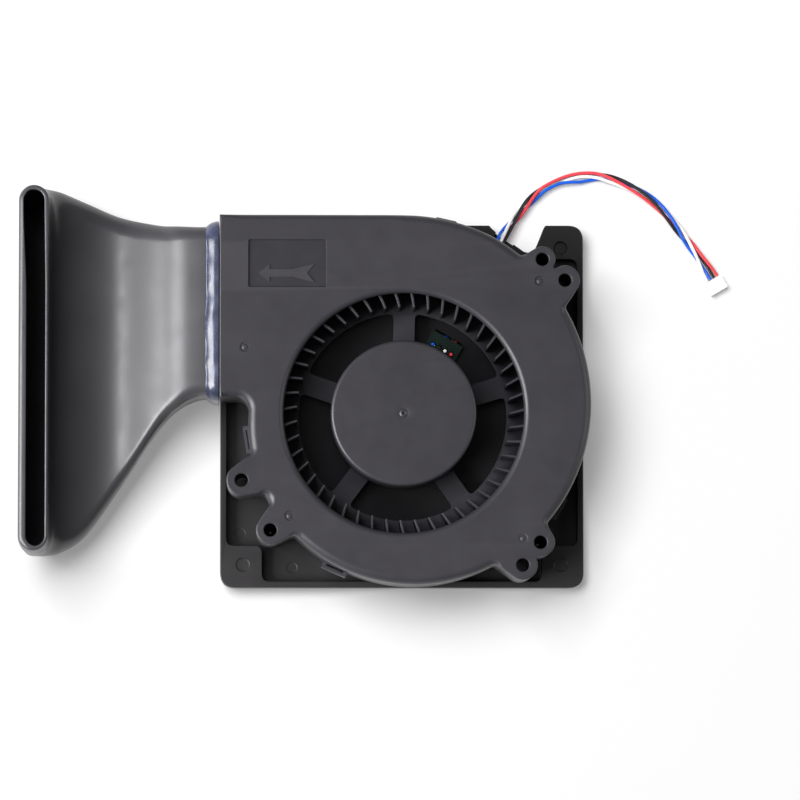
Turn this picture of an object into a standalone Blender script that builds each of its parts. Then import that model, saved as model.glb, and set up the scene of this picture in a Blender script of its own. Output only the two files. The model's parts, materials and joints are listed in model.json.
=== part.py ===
"""Radial blower seated on a square tray, with a flared slot duct and a short four-wire lead.

All lengths are in metres.  The part lies on the back of its tray: the origin is the centre of
the tray's back face, +Z points out of the air inlet and the duct leaves the blower towards -X.
"""
import math

import bmesh
import bpy
from mathutils import Vector

MM = 0.001
GAP = 0.3 * MM                      # clearance between pieces that touch

# Mounting tray
TRAY_SIZE = 120 * MM
TRAY_HEIGHT = 8 * MM
TRAY_FLOOR = 3 * MM
TRAY_CORNER = 5 * MM
TRAY_RIM = 2.1 * MM
TRAY_PAD = 11.8 * MM                # square corner pads inside the rim
MOUNT_PITCH = 105 * MM              # standard hole pattern of a 120 mm fan
MOUNT_HOLE_RADIUS = 2.15 * MM
MOUNT_HOLE_DEPTH = 5.5 * MM
STANDOFF_RADIUS = 4.2 * MM
SCREW_CLEARANCE = 2.2 * MM
SCREW_SINK_RADIUS = 4.0 * MM
SCREW_SINK_DEPTH = 2.0 * MM
NOTCH = [(28.6, 60.6), (29.6, 59.2), (32.3, 56.9), (35.6, 54.7), (38.9, 52.4),
         (40.5, 51.3), (42.3, 51.1), (44.1, 52.2), (47.6, 60.6)]    # cable notch, millimetres
WIRE_GATE_WIDTH = 7 * MM

# Blower housing
AXIS = Vector((0.0, -4.1 * MM, 0.0))    # the rotor spins about this vertical line
BACK_Z = TRAY_HEIGHT + GAP
SPLIT_Z = 24 * MM                   # parting plane of the two shells
FRONT_Z = 40 * MM
SKIN = 2 * MM                       # thickness of the floor and of the front plate
WALL = 1.8 * MM
SPIRAL_START = math.radians(-180)
SPIRAL_SPAN = math.radians(250)
SPIRAL_RADIUS = 50.5 * MM
SPIRAL_GROWTH = 14.5 * MM
SPIRAL_LIMIT = 64.6 * MM
OUTLET_X = -60 * MM
OUTLET_LOW_Y = 1 * MM
CUTOFF_FILLET = 4 * MM
INLET_RADIUS = 39.1 * MM
LABEL_CENTRE = (-37.95 * MM, 44.55 * MM)
LABEL_SIZE = (25.2 * MM, 15.3 * MM)
LABEL_DEPTH = 0.6 * MM
EAR_HOLE_RADIUS = 2.15 * MM
EARS = {                            # centre and radius of each screw column
    "a": (45.1 * MM, 46.0 * MM, 4.2 * MM),
    "b": (52.5 * MM, 39.2 * MM, 4.8 * MM),
    "c": (-52.8 * MM, -26.1 * MM, 4.9 * MM),
    "d": (-43.4 * MM, -42.3 * MM, 4.6 * MM),
    "e": (44.4 * MM, -46.2 * MM, 4.6 * MM),
    "f": (38.6 * MM, -53.6 * MM, 4.8 * MM),
}
SCREWED_EARS = ("a", "d", "e")
EAR_FLANK_SLOPE = 2.6               # how steeply an ear's flank falls to the spiral wall
EAR_BLEND = 2.4 * MM

# Impeller
VANES = 47
ARMS = 5
ARM_FIRST = math.radians(17)
ARM_WIDTH = 7 * MM
ARM_FLARE = 1.8 * MM
HUB_RADIUS = 23.75 * MM
HUB_WALL = 1.5 * MM
HUB_TOP = 38 * MM
HUB_BOTTOM = 14.2 * MM
RING_INNER = 34.2 * MM
RING_OUTER = 44.5 * MM
RING_Z = (14.5 * MM, 16.5 * MM)
VANE_INNER = 34.8 * MM
VANE_OUTER = 44.2 * MM
VANE_THICKNESS = 0.85 * MM
VANE_TOP = 36 * MM
VANE_PHASE = math.radians(0.2)
VANE_SWEEP = math.radians(3.8)      # how far the outer end leads the inner end
BAND_INNER = 43.2 * MM
BAND_Z = (34.8 * MM, 36.4 * MM)

# Motor
SHAFT_RADIUS = 1.5 * MM
SHAFT_Z = (10.4 * MM, 35 * MM)
TUBE_RADIUS = 6.6 * MM
TUBE_Z = (8.6 * MM, 30 * MM)
BEARING_HEIGHT = 4 * MM
LOWER_BEARING_Z = 12.5 * MM
UPPER_BEARING_Z = 25 * MM
BEARING_BORE = SHAFT_RADIUS + GAP
INNER_RACEWAY = 2.5 * MM
OUTER_RACEWAY = 4.0 * MM
BEARING_OUTER = 4.95 * MM
BALLS = 7
BALL_RADIUS = 0.62 * MM
YOKE_OUTER = HUB_RADIUS - HUB_WALL - GAP
YOKE_WALL = 0.8 * MM
MAGNET_OUTER = YOKE_OUTER - YOKE_WALL - GAP
MAGNET_INNER = 19.3 * MM
MAGNET_Z = (17 * MM, 28 * MM)
POLES = 4
STATOR_RADIUS = 18.6 * MM
STATOR_Z = (17.5 * MM, 26.5 * MM)
POLE_WIDTH = 5 * MM
SHOE_INNER = 15.5 * MM
SHOE_HALF_ANGLE = math.radians(37)
CORE_BORE = TUBE_RADIUS + GAP
CORE_HUB = 9 * MM
COIL_REACH = (9.4 * MM, 14.3 * MM)
COIL_THICKNESS = 1.9 * MM
INSULATOR = 1.5 * MM
BOARD_Z = (11.2 * MM, 12.4 * MM)
BOARD_RADIUS = 20.5 * MM
BOARD_HOLE = 9.4 * MM
TONGUE_ANGLE = math.radians(60)     # direction in which the lead leaves the motor
TONGUE_REACH = 30.3 * MM
TONGUE_HALF_WIDTH = 5.6 * MM
LEAD_ROW = 26.1 * MM                # distance of the soldered wire ends from the axis
LEAD_PITCH = 2.3 * MM

# Duct
DUCT_WALL = 1.5 * MM
DUCT_SIDES = 28
DUCT_RINGS = 14
# Each station: top x, top z, bottom x, bottom z, far side y, near side y, corner radius (mm)
DUCT_STATIONS = [
    (-60.3, 37.4, -60.3, 11.0, 57.0, 1.4, 4.5),
    (-67.0, 36.9, -67.0, 9.7, 57.0, 1.2, 4.8),
    (-73.5, 35.3, -74.0, 7.4, 57.4, -2.1, 5.2),
    (-80.0, 31.4, -81.0, 5.2, 58.1, -9.2, 6.0),
    (-92.0, 24.8, -94.5, 2.2, 61.3, -28.0, 7.0),
    (-102.5, 23.3, -107.0, 1.2, 66.1, -43.4, 7.5),
    (-110.2, 24.6, -117.5, 3.6, 69.5, -49.2, 7.0),
    (-114.6, 29.2, -124.0, 14.0, 70.2, -50.1, 6.0),
    (-115.3, 38.5, -125.1, 33.0, 69.8, -50.0, 4.9),
    (-115.3, 45.0, -125.1, 45.0, 69.5, -49.2, 4.9),
]
BEAD_X = (-64.6 * MM, OUTLET_X - GAP)
BEAD_SWELL = 2.0 * MM

# Lead: the bundle's centreline from under the blower to the connector (mm)
WIRE_RADIUS = 0.55 * MM
LEAD_ROUTE = [
    (18.3, 25.1, 5.6), (22.1, 32.0, 5.5), (25.5, 38.6, 5.4), (28.6, 45.2, 5.3), (31.2, 51.2, 5.2),
    (33.5, 56.0, 5.0), (36.2, 60.6, 4.0), (39.6, 65.2, 2.9), (43.0, 69.0, 2.2), (47.2, 72.6, 1.8),
    (52.5, 75.4, 1.7), (57.6, 77.0, 1.7), (62.8, 77.4, 1.7), (68.0, 76.6, 1.7), (73.0, 74.9, 1.7),
    (78.0, 72.5, 1.7), (82.6, 69.6, 1.7), (86.8, 65.8, 1.7), (90.6, 61.4, 1.7), (94.2, 56.6, 1.7),
    (97.8, 51.8, 1.8), (101.0, 46.8, 1.9), (103.3, 42.9, 2.0),
]
LEAD_SAMPLES = 40
TWIST_RADIUS = 1.0 * MM
STRANDS = {"red": 0, "black": -90, "blue": -180, "white": 90}    # degrees round the bundle
EXCHANGE = ((0.17, 0.31), (0.47, 0.61))     # where blue and white trade places, and trade back
EXCHANGED = {"blue": (-90, 1.1 * MM), "white": (90, -0.6 * MM)}     # turn, and swell on the way
# How far the bundle has turned (degrees) at each fraction of its length: the twist reverses
TWIST = [(0.0, 180), (0.17, 20), (0.30, -110), (0.43, -310), (0.585, -318), (0.65, -250),
         (0.74, -180), (0.84, -90), (0.91, 20), (1.0, 50)]
FAN_START = 0.91                    # fraction of the length at which the strands fan out
BOARD_ORDER = ("blue", "black", "white", "red")
CONNECTOR_ORDER = ("red", "black", "blue", "white")
CONNECTOR_PITCH = 1.3 * MM
CONNECTOR_SIZE = (4.6 * MM, 6.2 * MM, 3.2 * MM)    # along the lead, across it, high
SOCKET = (0.8 * MM, 1.9 * MM)       # width and height of the connector's sockets


# ---------------------------------------------------------------- helpers

def make_collection(name):
    collection = bpy.data.collections.new(name)
    bpy.context.scene.collection.children.link(collection)
    return collection


def make_material(name, colour, roughness, metallic=0.0):
    material = bpy.data.materials.new(name)
    material.use_nodes = True
    shader = material.node_tree.nodes["Principled BSDF"]
    shader.inputs["Base Color"].default_value = (*colour, 1.0)
    shader.inputs["Roughness"].default_value = roughness
    shader.inputs["Metallic"].default_value = metallic
    return material


def add_object(name, data, material, helper=False):
    """Put a piece in the part's collection, or a cutting tool among the cutters."""
    piece = bpy.data.objects.new(name, data)
    (CUTTERS if helper else PART).objects.link(piece)
    if material:
        data.materials.append(material)
    if helper:
        piece.hide_render = True
        piece.display_type = "WIRE"
    return piece


def ring_points(radius, count, centre=(0.0, 0.0), start=0.0):
    step = 2 * math.pi / count
    return [(centre[0] + radius * math.cos(start + i * step),
             centre[1] + radius * math.sin(start + i * step)) for i in range(count)]


def rounded_box(x0, x1, y0, y1, radius, steps=4):
    """Outline of a rectangle whose corners are arcs."""
    points = []
    corners = ((x1, y1, 0), (x0, y1, 1), (x0, y0, 2), (x1, y0, 3))
    for x, y, quarter in corners:
        cx = x - radius if quarter in (0, 3) else x + radius
        cy = y - radius if quarter in (0, 1) else y + radius
        for i in range(steps + 1):
            angle = math.pi / 2 * (quarter + i / steps)
            points.append((cx + radius * math.cos(angle), cy + radius * math.sin(angle)))
    return points


def slab(name, outlines, low, high, material=None, helper=False, centre=(0.0, 0.0)):
    """Flat outlines, with any holes, filled and thickened between two heights."""
    curve = bpy.data.curves.new(name, "CURVE")
    curve.dimensions = "2D"
    curve.fill_mode = "BOTH"
    curve.extrude = (high - low) / 2
    for outline in outlines:
        spline = curve.splines.new("POLY")
        spline.points.add(len(outline) - 1)
        for point, (x, y) in zip(spline.points, outline):
            point.co = (x, y, 0.0, 1.0)
        spline.use_cyclic_u = True
    guide = bpy.data.objects.new(name + "_outline", curve)
    guide.location = (centre[0], centre[1], (low + high) / 2)
    CUTTERS.objects.link(guide)
    bpy.context.view_layer.update()
    evaluated = guide.evaluated_get(bpy.context.evaluated_depsgraph_get())
    mesh = bpy.data.meshes.new_from_object(evaluated)
    mesh.name = name
    weld = bmesh.new()
    weld.from_mesh(mesh)
    bmesh.ops.remove_doubles(weld, verts=weld.verts, dist=1e-6)
    bmesh.ops.recalc_face_normals(weld, faces=weld.faces)
    weld.to_mesh(mesh)
    weld.free()
    piece = add_object(name, mesh, material, helper)
    piece.matrix_world = guide.matrix_world
    bpy.data.objects.remove(guide)
    return piece


def turned(name, profile, steps, material=None, helper=False, centre=(0.0, 0.0)):
    """Turn a profile of (radius, height) about a vertical line.  It runs down its outer side."""
    count = len(profile)
    closed = min(radius for radius, _ in profile) > 0
    edges = [(i, (i + 1) % count) for i in range(count if closed else count - 1)]
    mesh = bpy.data.meshes.new(name)
    mesh.from_pydata([(radius, 0.0, height) for radius, height in profile], edges, [])
    piece = add_object(name, mesh, material, helper)
    piece.location = (centre[0], centre[1], 0.0)
    screw = piece.modifiers.new("turn", "SCREW")
    screw.steps = steps
    screw.render_steps = steps
    screw.use_merge_vertices = True
    screw.merge_threshold = 0.00001
    screw.use_smooth_shade = False
    return piece


def turned_ring(name, inner, outer, low, high, steps, material=None, helper=False,
                centre=(0.0, 0.0)):
    profile = [(outer, high), (outer, low), (inner, low), (inner, high)]
    return turned(name, profile, steps, material, helper, centre)


def post(name, radius, low, high, steps, material=None, helper=False, centre=(0.0, 0.0)):
    profile = [(0.0, high), (radius, high), (radius, low), (0.0, low)]
    return turned(name, profile, steps, material, helper, centre)


def combine(piece, tool, operation, solver):
    modifier = piece.modifiers.new(operation.lower() + "_" + tool.name, "BOOLEAN")
    modifier.object = tool
    modifier.operation = operation
    modifier.solver = solver


def cut(piece, *tools, solver="EXACT"):
    for tool in tools:
        combine(piece, tool, "DIFFERENCE", solver)


def join(piece, *tools, solver="EXACT"):
    for tool in tools:
        combine(piece, tool, "UNION", solver)


def polar(radius, angle, centre=AXIS):
    return centre[0] + radius * math.cos(angle), centre[1] + radius * math.sin(angle)


def smooth_points(route, samples):
    """Read evenly spaced points from a smooth curve through the route's own points (mm)."""
    knots = [Vector(point) * MM for point in route]
    ends = [2 * knots[0] - knots[1]] + knots + [2 * knots[-1] - knots[-2]]
    dense = []
    for a, b, c, d in zip(ends, ends[1:], ends[2:], ends[3:]):
        for i in range(12):
            t = i / 12
            dense.append(0.5 * (2 * b + (c - a) * t + (2 * a - 5 * b + 4 * c - d) * t ** 2
                                + (3 * b - a - 3 * c + d) * t ** 3))
    dense.append(knots[-1])
    travelled = [0.0]
    for first, second in zip(dense, dense[1:]):
        travelled.append(travelled[-1] + (second - first).length)
    points = []
    segment = 0
    for i in range(samples):
        target = travelled[-1] * i / (samples - 1)
        while segment < len(dense) - 2 and travelled[segment + 1] < target:
            segment += 1
        share = (target - travelled[segment]) / (travelled[segment + 1] - travelled[segment])
        points.append(dense[segment].lerp(dense[segment + 1], share))
    return points


def tube(name, points, radius, material, resolution=2):
    curve = bpy.data.curves.new(name, "CURVE")
    curve.dimensions = "3D"
    curve.bevel_depth = radius
    curve.bevel_resolution = resolution
    curve.use_fill_caps = True
    spline = curve.splines.new("POLY")
    spline.points.add(len(points) - 1)
    for point, place in zip(spline.points, points):
        point.co = (*place, 1.0)
    return add_object(name, curve, material)


def block(name, size, centre, material=None, helper=False, turn=0.0):
    mesh = bpy.data.meshes.new(name)
    build = bmesh.new()
    bmesh.ops.create_cube(build, size=1.0)
    bmesh.ops.scale(build, vec=size, verts=build.verts)
    build.to_mesh(mesh)
    build.free()
    piece = add_object(name, mesh, material, helper)
    piece.location = centre
    piece.rotation_euler.z = turn
    return piece


# ---------------------------------------------------------------- tray

def make_tray(material):
    half = TRAY_SIZE / 2
    tray = slab("mounting_tray", [rounded_box(-half, half, -half, half, TRAY_CORNER, 4)],
                0.0, TRAY_HEIGHT, material)
    notch = slab("notch_cutter", [[(x * MM, y * MM) for x, y in NOTCH]],
                 -MM, TRAY_HEIGHT + MM, helper=True)
    cut(tray, notch, tray_recess_cutter(), wire_gate_cutter(), solver="MANIFOLD")
    for name in SCREWED_EARS:
        x, y, _ = EARS[name]
        standoff = post("standoff_" + name, STANDOFF_RADIUS, TRAY_FLOOR - MM, TRAY_HEIGHT, 16,
                        helper=True, centre=(x, y))
        join(tray, standoff, solver="MANIFOLD")
    for name in SCREWED_EARS:
        x, y, _ = EARS[name]
        cut(tray, post("screw_bore_" + name, SCREW_CLEARANCE, -MM, TRAY_HEIGHT + MM, 12,
                       helper=True, centre=(x, y)),
            post("screw_sink_" + name, SCREW_SINK_RADIUS, -MM, SCREW_SINK_DEPTH, 16,
                 helper=True, centre=(x, y)), solver="MANIFOLD")
    reach = MOUNT_PITCH / 2
    for index, (sx, sy) in enumerate(((1, 1), (-1, 1), (-1, -1), (1, -1))):
        cut(tray, post(f"mount_bore_{index}", MOUNT_HOLE_RADIUS, -MM, MOUNT_HOLE_DEPTH, 12,
                       helper=True, centre=(sx * reach, sy * reach)), solver="MANIFOLD")


def tray_recess_cutter():
    """The hollow inside the rim: square pads fill three corners, a ledge the notched one."""
    inner = TRAY_SIZE / 2 - TRAY_RIM
    pad = inner - TRAY_PAD
    ledge_y = 48.8 * MM
    outline = [(-pad, inner), (26.6 * MM, inner), (36.6 * MM, ledge_y + 2 * MM),
               (39.5 * MM, ledge_y), (inner - 2 * MM, ledge_y), (inner, ledge_y - 2 * MM),
               (inner, -pad), (pad, -pad), (pad, -inner),
               (-pad, -inner), (-pad, -pad), (-inner, -pad), (-inner, pad), (-pad, pad)]
    return slab("recess_cutter", [outline], TRAY_FLOOR, TRAY_HEIGHT + MM, helper=True)


def wire_gate_cutter():
    """Gap in the rim through which the lead crosses the notched edge."""
    place = (34.0 * MM, 55.6 * MM, TRAY_FLOOR + 4 * MM)
    return block("wire_gate_cutter", (WIRE_GATE_WIDTH, 9 * MM, 8 * MM), place,
                 helper=True, turn=math.radians(-30))


# ---------------------------------------------------------------- blower housing

def spiral_radius(angle):
    """Radius of the spiral wall: it opens steadily counter-clockwise up to the outlet."""
    growth = SPIRAL_GROWTH * (angle - SPIRAL_START) / SPIRAL_SPAN
    return min(SPIRAL_RADIUS + growth, SPIRAL_LIMIT)


def smooth_maximum(first, second, blend):
    overlap = max(blend - abs(first - second), 0.0) / blend
    return max(first, second) + overlap * overlap * blend / 4


def ear_reach(angle, ear):
    """How far an ear's rounded end reaches from the rotor's axis along one direction."""
    offset = Vector((ear[0], ear[1])) - AXIS.xy
    distance = offset.length
    turn = (angle - math.atan2(offset.y, offset.x) + math.pi) % (2 * math.pi) - math.pi
    if abs(turn) > math.radians(30):
        return 0.0
    aside = distance * math.tan(abs(turn))
    knee = 0.92 * ear[2]
    height = math.sqrt(ear[2] ** 2 - min(aside, knee) ** 2)
    return distance + height - EAR_FLANK_SLOPE * max(aside - knee, 0.0)


def outline_radius(angle):
    radius = spiral_radius(angle)
    for ear in EARS.values():
        radius = smooth_maximum(radius, ear_reach(angle, ear), EAR_BLEND)
    return radius


def housing_angles():
    """Directions at which the outline is read: close together round each ear."""
    angles = {math.radians(90 - 7.5 * i) for i in range(37)}
    for x, y, _ in EARS.values():
        offset = Vector((x, y)) - AXIS.xy
        middle = math.atan2(offset.y, offset.x)
        angles.update(middle + math.radians(step * 1.6) for step in range(-4, 5))
    return sorted((a for a in angles if -math.pi < a <= math.pi / 2 + 1e-9), reverse=True)


def housing_outline():
    """Outer outline of both shells: outlet, straight top edge, spiral wall with its ears."""
    points = [(OUTLET_X, AXIS.y + SPIRAL_LIMIT)]
    points += [polar(outline_radius(angle), angle) for angle in housing_angles()]
    wall_x = -SPIRAL_RADIUS
    centre = (wall_x - CUTOFF_FILLET, OUTLET_LOW_Y - CUTOFF_FILLET)
    points += [(centre[0] + CUTOFF_FILLET * math.cos(math.radians(22.5 * i)),
                centre[1] + CUTOFF_FILLET * math.sin(math.radians(22.5 * i))) for i in range(5)]
    points.append((OUTLET_X, OUTLET_LOW_Y))
    return points


def cavity_outline():
    """Air passage inside the walls, running out through the open outlet."""
    beyond = OUTLET_X - MM
    points = [(beyond, AXIS.y + SPIRAL_LIMIT - WALL)]
    points += [polar(spiral_radius(math.radians(90 - 9 * i)) - WALL, math.radians(90 - 9 * i))
               for i in range(31)]
    points += [(WALL - SPIRAL_RADIUS, OUTLET_LOW_Y + 0.6 * MM),
               (WALL - SPIRAL_RADIUS - 1.2 * MM, OUTLET_LOW_Y + WALL),
               (beyond, OUTLET_LOW_Y + WALL)]
    return points


def ear_holes():
    return [ring_points(EAR_HOLE_RADIUS, 12, (x, y)) for x, y, _ in EARS.values()]


def make_front_shell(material):
    shell = slab("front_shell", [housing_outline()] + ear_holes(), SPLIT_Z + GAP, FRONT_Z, material)
    cavity = slab("front_cavity_cutter", [cavity_outline()], SPLIT_Z - MM, FRONT_Z - SKIN,
                  helper=True)
    inlet = post("inlet_cutter", INLET_RADIUS, FRONT_Z - 5 * MM, FRONT_Z + MM, 48,
                 helper=True, centre=AXIS)
    label = block("label_cutter", (*LABEL_SIZE, 2 * LABEL_DEPTH),
                  (*LABEL_CENTRE, FRONT_Z), helper=True)
    cut(shell, cavity, inlet, label)


def make_back_shell(material):
    shell = slab("back_shell", [housing_outline()] + ear_holes(), BACK_Z, SPLIT_Z, material)
    cavity = slab("back_cavity_cutter", [cavity_outline()], BACK_Z + SKIN, SPLIT_Z + MM,
                  helper=True)
    boss = post("boss_tool", CORE_HUB - 0.1 * MM, BACK_Z + MM, STATOR_Z[0] - 2.6 * MM, 24,
                helper=True, centre=AXIS)
    bore = post("tube_bore_cutter", TUBE_RADIUS + GAP, BACK_Z - MM, STATOR_Z[0], 24,
                helper=True, centre=AXIS)
    x, y = polar(LEAD_ROW + 1.5 * MM, TONGUE_ANGLE)
    slot = block("lead_slot_cutter", (7 * MM, 4 * LEAD_PITCH + MM, 6 * MM), (x, y, BACK_Z + MM),
                 helper=True, turn=TONGUE_ANGLE)
    cut(shell, cavity)
    join(shell, boss)
    cut(shell, bore)
    cut(shell, slot, solver="MANIFOLD")


# ---------------------------------------------------------------- duct and sealant

def station_value(share, column):
    """Read one column of the station table from a smooth curve through its rows."""
    last = len(DUCT_STATIONS) - 1
    place = min(max(share, 0.0), 1.0) * last
    index = min(int(place), last - 1)
    t = place - index
    a, b, c, d = (DUCT_STATIONS[min(max(index + k, 0), last)][column] for k in (-1, 0, 1, 2))
    value = 0.5 * (2 * b + (c - a) * t + (2 * a - 5 * b + 4 * c - d) * t * t
                   + (3 * b - a - 3 * c + d) * t ** 3)
    return value * MM


def duct_section(share, inset):
    """One ring of the duct: a rounded oblong standing across the airflow."""
    top = Vector((station_value(share, 0), 0.0, station_value(share, 1)))
    bottom = Vector((station_value(share, 2), 0.0, station_value(share, 3)))
    far, near, corner = (station_value(share, column) for column in (4, 5, 6))
    across = top - bottom
    half_height = across.length / 2
    across.normalize()
    half_width = (far - near) / 2
    centre = (top + bottom) / 2 + Vector((0.0, (far + near) / 2, 0.0))
    radius = min(corner, half_height) - inset
    outline = oblong_points(half_width - inset, half_height - inset, max(radius, 0.4 * MM))
    return [centre + Vector((0.0, 1.0, 0.0)) * u + across * v for u, v in outline]


def oblong_points(half_width, half_height, radius):
    """Points round a rounded oblong: even counts on its arcs and its straight runs."""
    radius = min(radius, half_height - 0.01 * MM)
    per_quarter = DUCT_SIDES // 4
    arc = 5
    flat = per_quarter - arc
    points = []
    for quarter in range(4):
        sx = 1 if quarter in (0, 3) else -1
        sy = 1 if quarter in (0, 1) else -1
        cx, cy = sx * (half_width - radius), sy * (half_height - radius)
        for i in range(arc):
            angle = math.pi / 2 * (quarter + i / (arc - 1))
            points.append((cx + radius * math.cos(angle), cy + radius * math.sin(angle)))
        following = (quarter + 1) % 4
        nx = (1 if following in (0, 3) else -1) * (half_width - radius)
        ny = (1 if following in (0, 1) else -1) * (half_height - radius)
        angle = math.pi / 2 * (quarter + 1)
        start = Vector(points[-1])
        end = Vector((nx + radius * math.cos(angle), ny + radius * math.sin(angle)))
        points += [tuple(start.lerp(end, (i + 1) / (flat + 1))) for i in range(flat)]
    return points


def loft_mesh(name, outer_rings, inner_rings):
    """Close two nested stacks of rings into one thin wall, open at both ends."""
    mesh = bpy.data.meshes.new(name)
    build = bmesh.new()
    stacks = [[[build.verts.new(point) for point in ring] for ring in rings]
              for rings in (outer_rings, inner_rings)]
    strips = []
    for rings in stacks:
        strips += list(zip(rings, rings[1:]))
    strips += [(stacks[0][end], stacks[1][end]) for end in (0, -1)]
    for first, second in strips:
        count = len(first)
        for i in range(count):
            j = (i + 1) % count
            build.faces.new((first[i], first[j], second[j], second[i]))
    bmesh.ops.recalc_face_normals(build, faces=build.faces)
    build.to_mesh(mesh)
    build.free()
    return mesh


def make_duct(material):
    shares = [i / DUCT_RINGS for i in range(DUCT_RINGS + 1)]
    outer = [duct_section(share, 0.0) for share in shares]
    inner = [duct_section(share, DUCT_WALL) for share in shares]
    add_object("outlet_duct", loft_mesh("outlet_duct", outer, inner), material)


def make_bead(material):
    """Sealant wrapped round the joint, thickest where the duct meets the blower."""
    rings = ((0.0, 0.0), (0.15, 0.5), (0.5, 0.9), (0.8, 1.0), (1.0, 0.75), (1.0, 0.0))
    outer = []
    for along, swell in rings:
        x = BEAD_X[0] + along * (BEAD_X[1] - BEAD_X[0])
        share = share_at_x(x)
        section = duct_section(share, -GAP - 0.1 * MM - swell * BEAD_SWELL)
        outer.append([Vector((x, point.y, point.z)) for point in section])
    inner = []
    for along in (0.0, 1.0):
        x = BEAD_X[0] + along * (BEAD_X[1] - BEAD_X[0])
        section = duct_section(share_at_x(x), -GAP)
        inner.append([Vector((x, point.y, point.z)) for point in section])
    add_object("sealant_bead", loft_mesh("sealant_bead", outer, inner), material)


def share_at_x(x):
    """Where along the duct its upper skin passes a given x, near the neck."""
    low, high = 0.0, 0.3
    for _ in range(30):
        middle = (low + high) / 2
        if station_value(middle, 0) > x:
            low = middle
        else:
            high = middle
    return low


# ---------------------------------------------------------------- rotor

def arm_window(index):
    """Opening between two neighbouring arms, with flared corners at the ring."""
    first = ARM_FIRST + 2 * math.pi * index / ARMS
    second = first + 2 * math.pi / ARMS
    inner = HUB_RADIUS + GAP
    half = ARM_WIDTH / 2
    inner_turn = math.asin(half / inner)
    outer_turn = math.asin(half / RING_INNER)
    flare = ARM_FLARE / RING_INNER
    points = [polar(inner, first + inner_turn)]
    points += [polar(RING_INNER - ARM_FLARE, first + math.asin(half / (RING_INNER - ARM_FLARE)))]
    points += [polar(RING_INNER - 0.3 * ARM_FLARE, first + outer_turn + 0.3 * flare)]
    start, stop = first + outer_turn + flare, second - outer_turn - flare
    points += [polar(RING_INNER, start + (stop - start) * i / 7) for i in range(8)]
    points += [polar(RING_INNER - 0.3 * ARM_FLARE, second - outer_turn - 0.3 * flare)]
    points += [polar(RING_INNER - ARM_FLARE, second - math.asin(half / (RING_INNER - ARM_FLARE)))]
    start, stop = second - inner_turn, first + inner_turn
    points += [polar(inner, start + (stop - start) * i / 6) for i in range(6)]
    return points


def vane_outline(index):
    """One vane seen from the front: a strip of even thickness that leads at its outer end."""
    base = 2 * math.pi * index / VANES + VANE_PHASE
    left, right = [], []
    for t in (0.0, 1.0):
        radius = VANE_INNER + t * (VANE_OUTER - VANE_INNER)
        angle = base + VANE_SWEEP * t
        spread = VANE_THICKNESS / 2 / radius
        left.append(polar(radius, angle + spread))
        right.append(polar(radius, angle - spread))
    return right + left[::-1]


def make_impeller(material):
    windows = [arm_window(index) for index in range(ARMS)]
    disc = slab("impeller", [ring_points(RING_OUTER, VANES, AXIS),
                             ring_points(HUB_RADIUS - HUB_WALL / 2, 36, AXIS)] + windows,
                *RING_Z, material)
    inside = HUB_RADIUS - HUB_WALL
    cup = turned("hub_tool", [(0.0, HUB_TOP), (HUB_RADIUS - MM, HUB_TOP),
                              (HUB_RADIUS - 0.3 * MM, HUB_TOP - 0.3 * MM),
                              (HUB_RADIUS, HUB_TOP - MM), (HUB_RADIUS, HUB_BOTTOM),
                              (inside, HUB_BOTTOM), (inside, HUB_TOP - HUB_WALL),
                              (0.0, HUB_TOP - HUB_WALL)], 36, helper=True, centre=AXIS)
    vanes = slab("vane_tool", [vane_outline(index) for index in range(VANES)],
                 RING_Z[0] + MM, VANE_TOP, helper=True)
    band = turned_ring("band_tool", BAND_INNER, RING_OUTER - 0.05 * MM, *BAND_Z, VANES,
                       helper=True, centre=AXIS)
    join(disc, vanes, band, cup)


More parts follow.
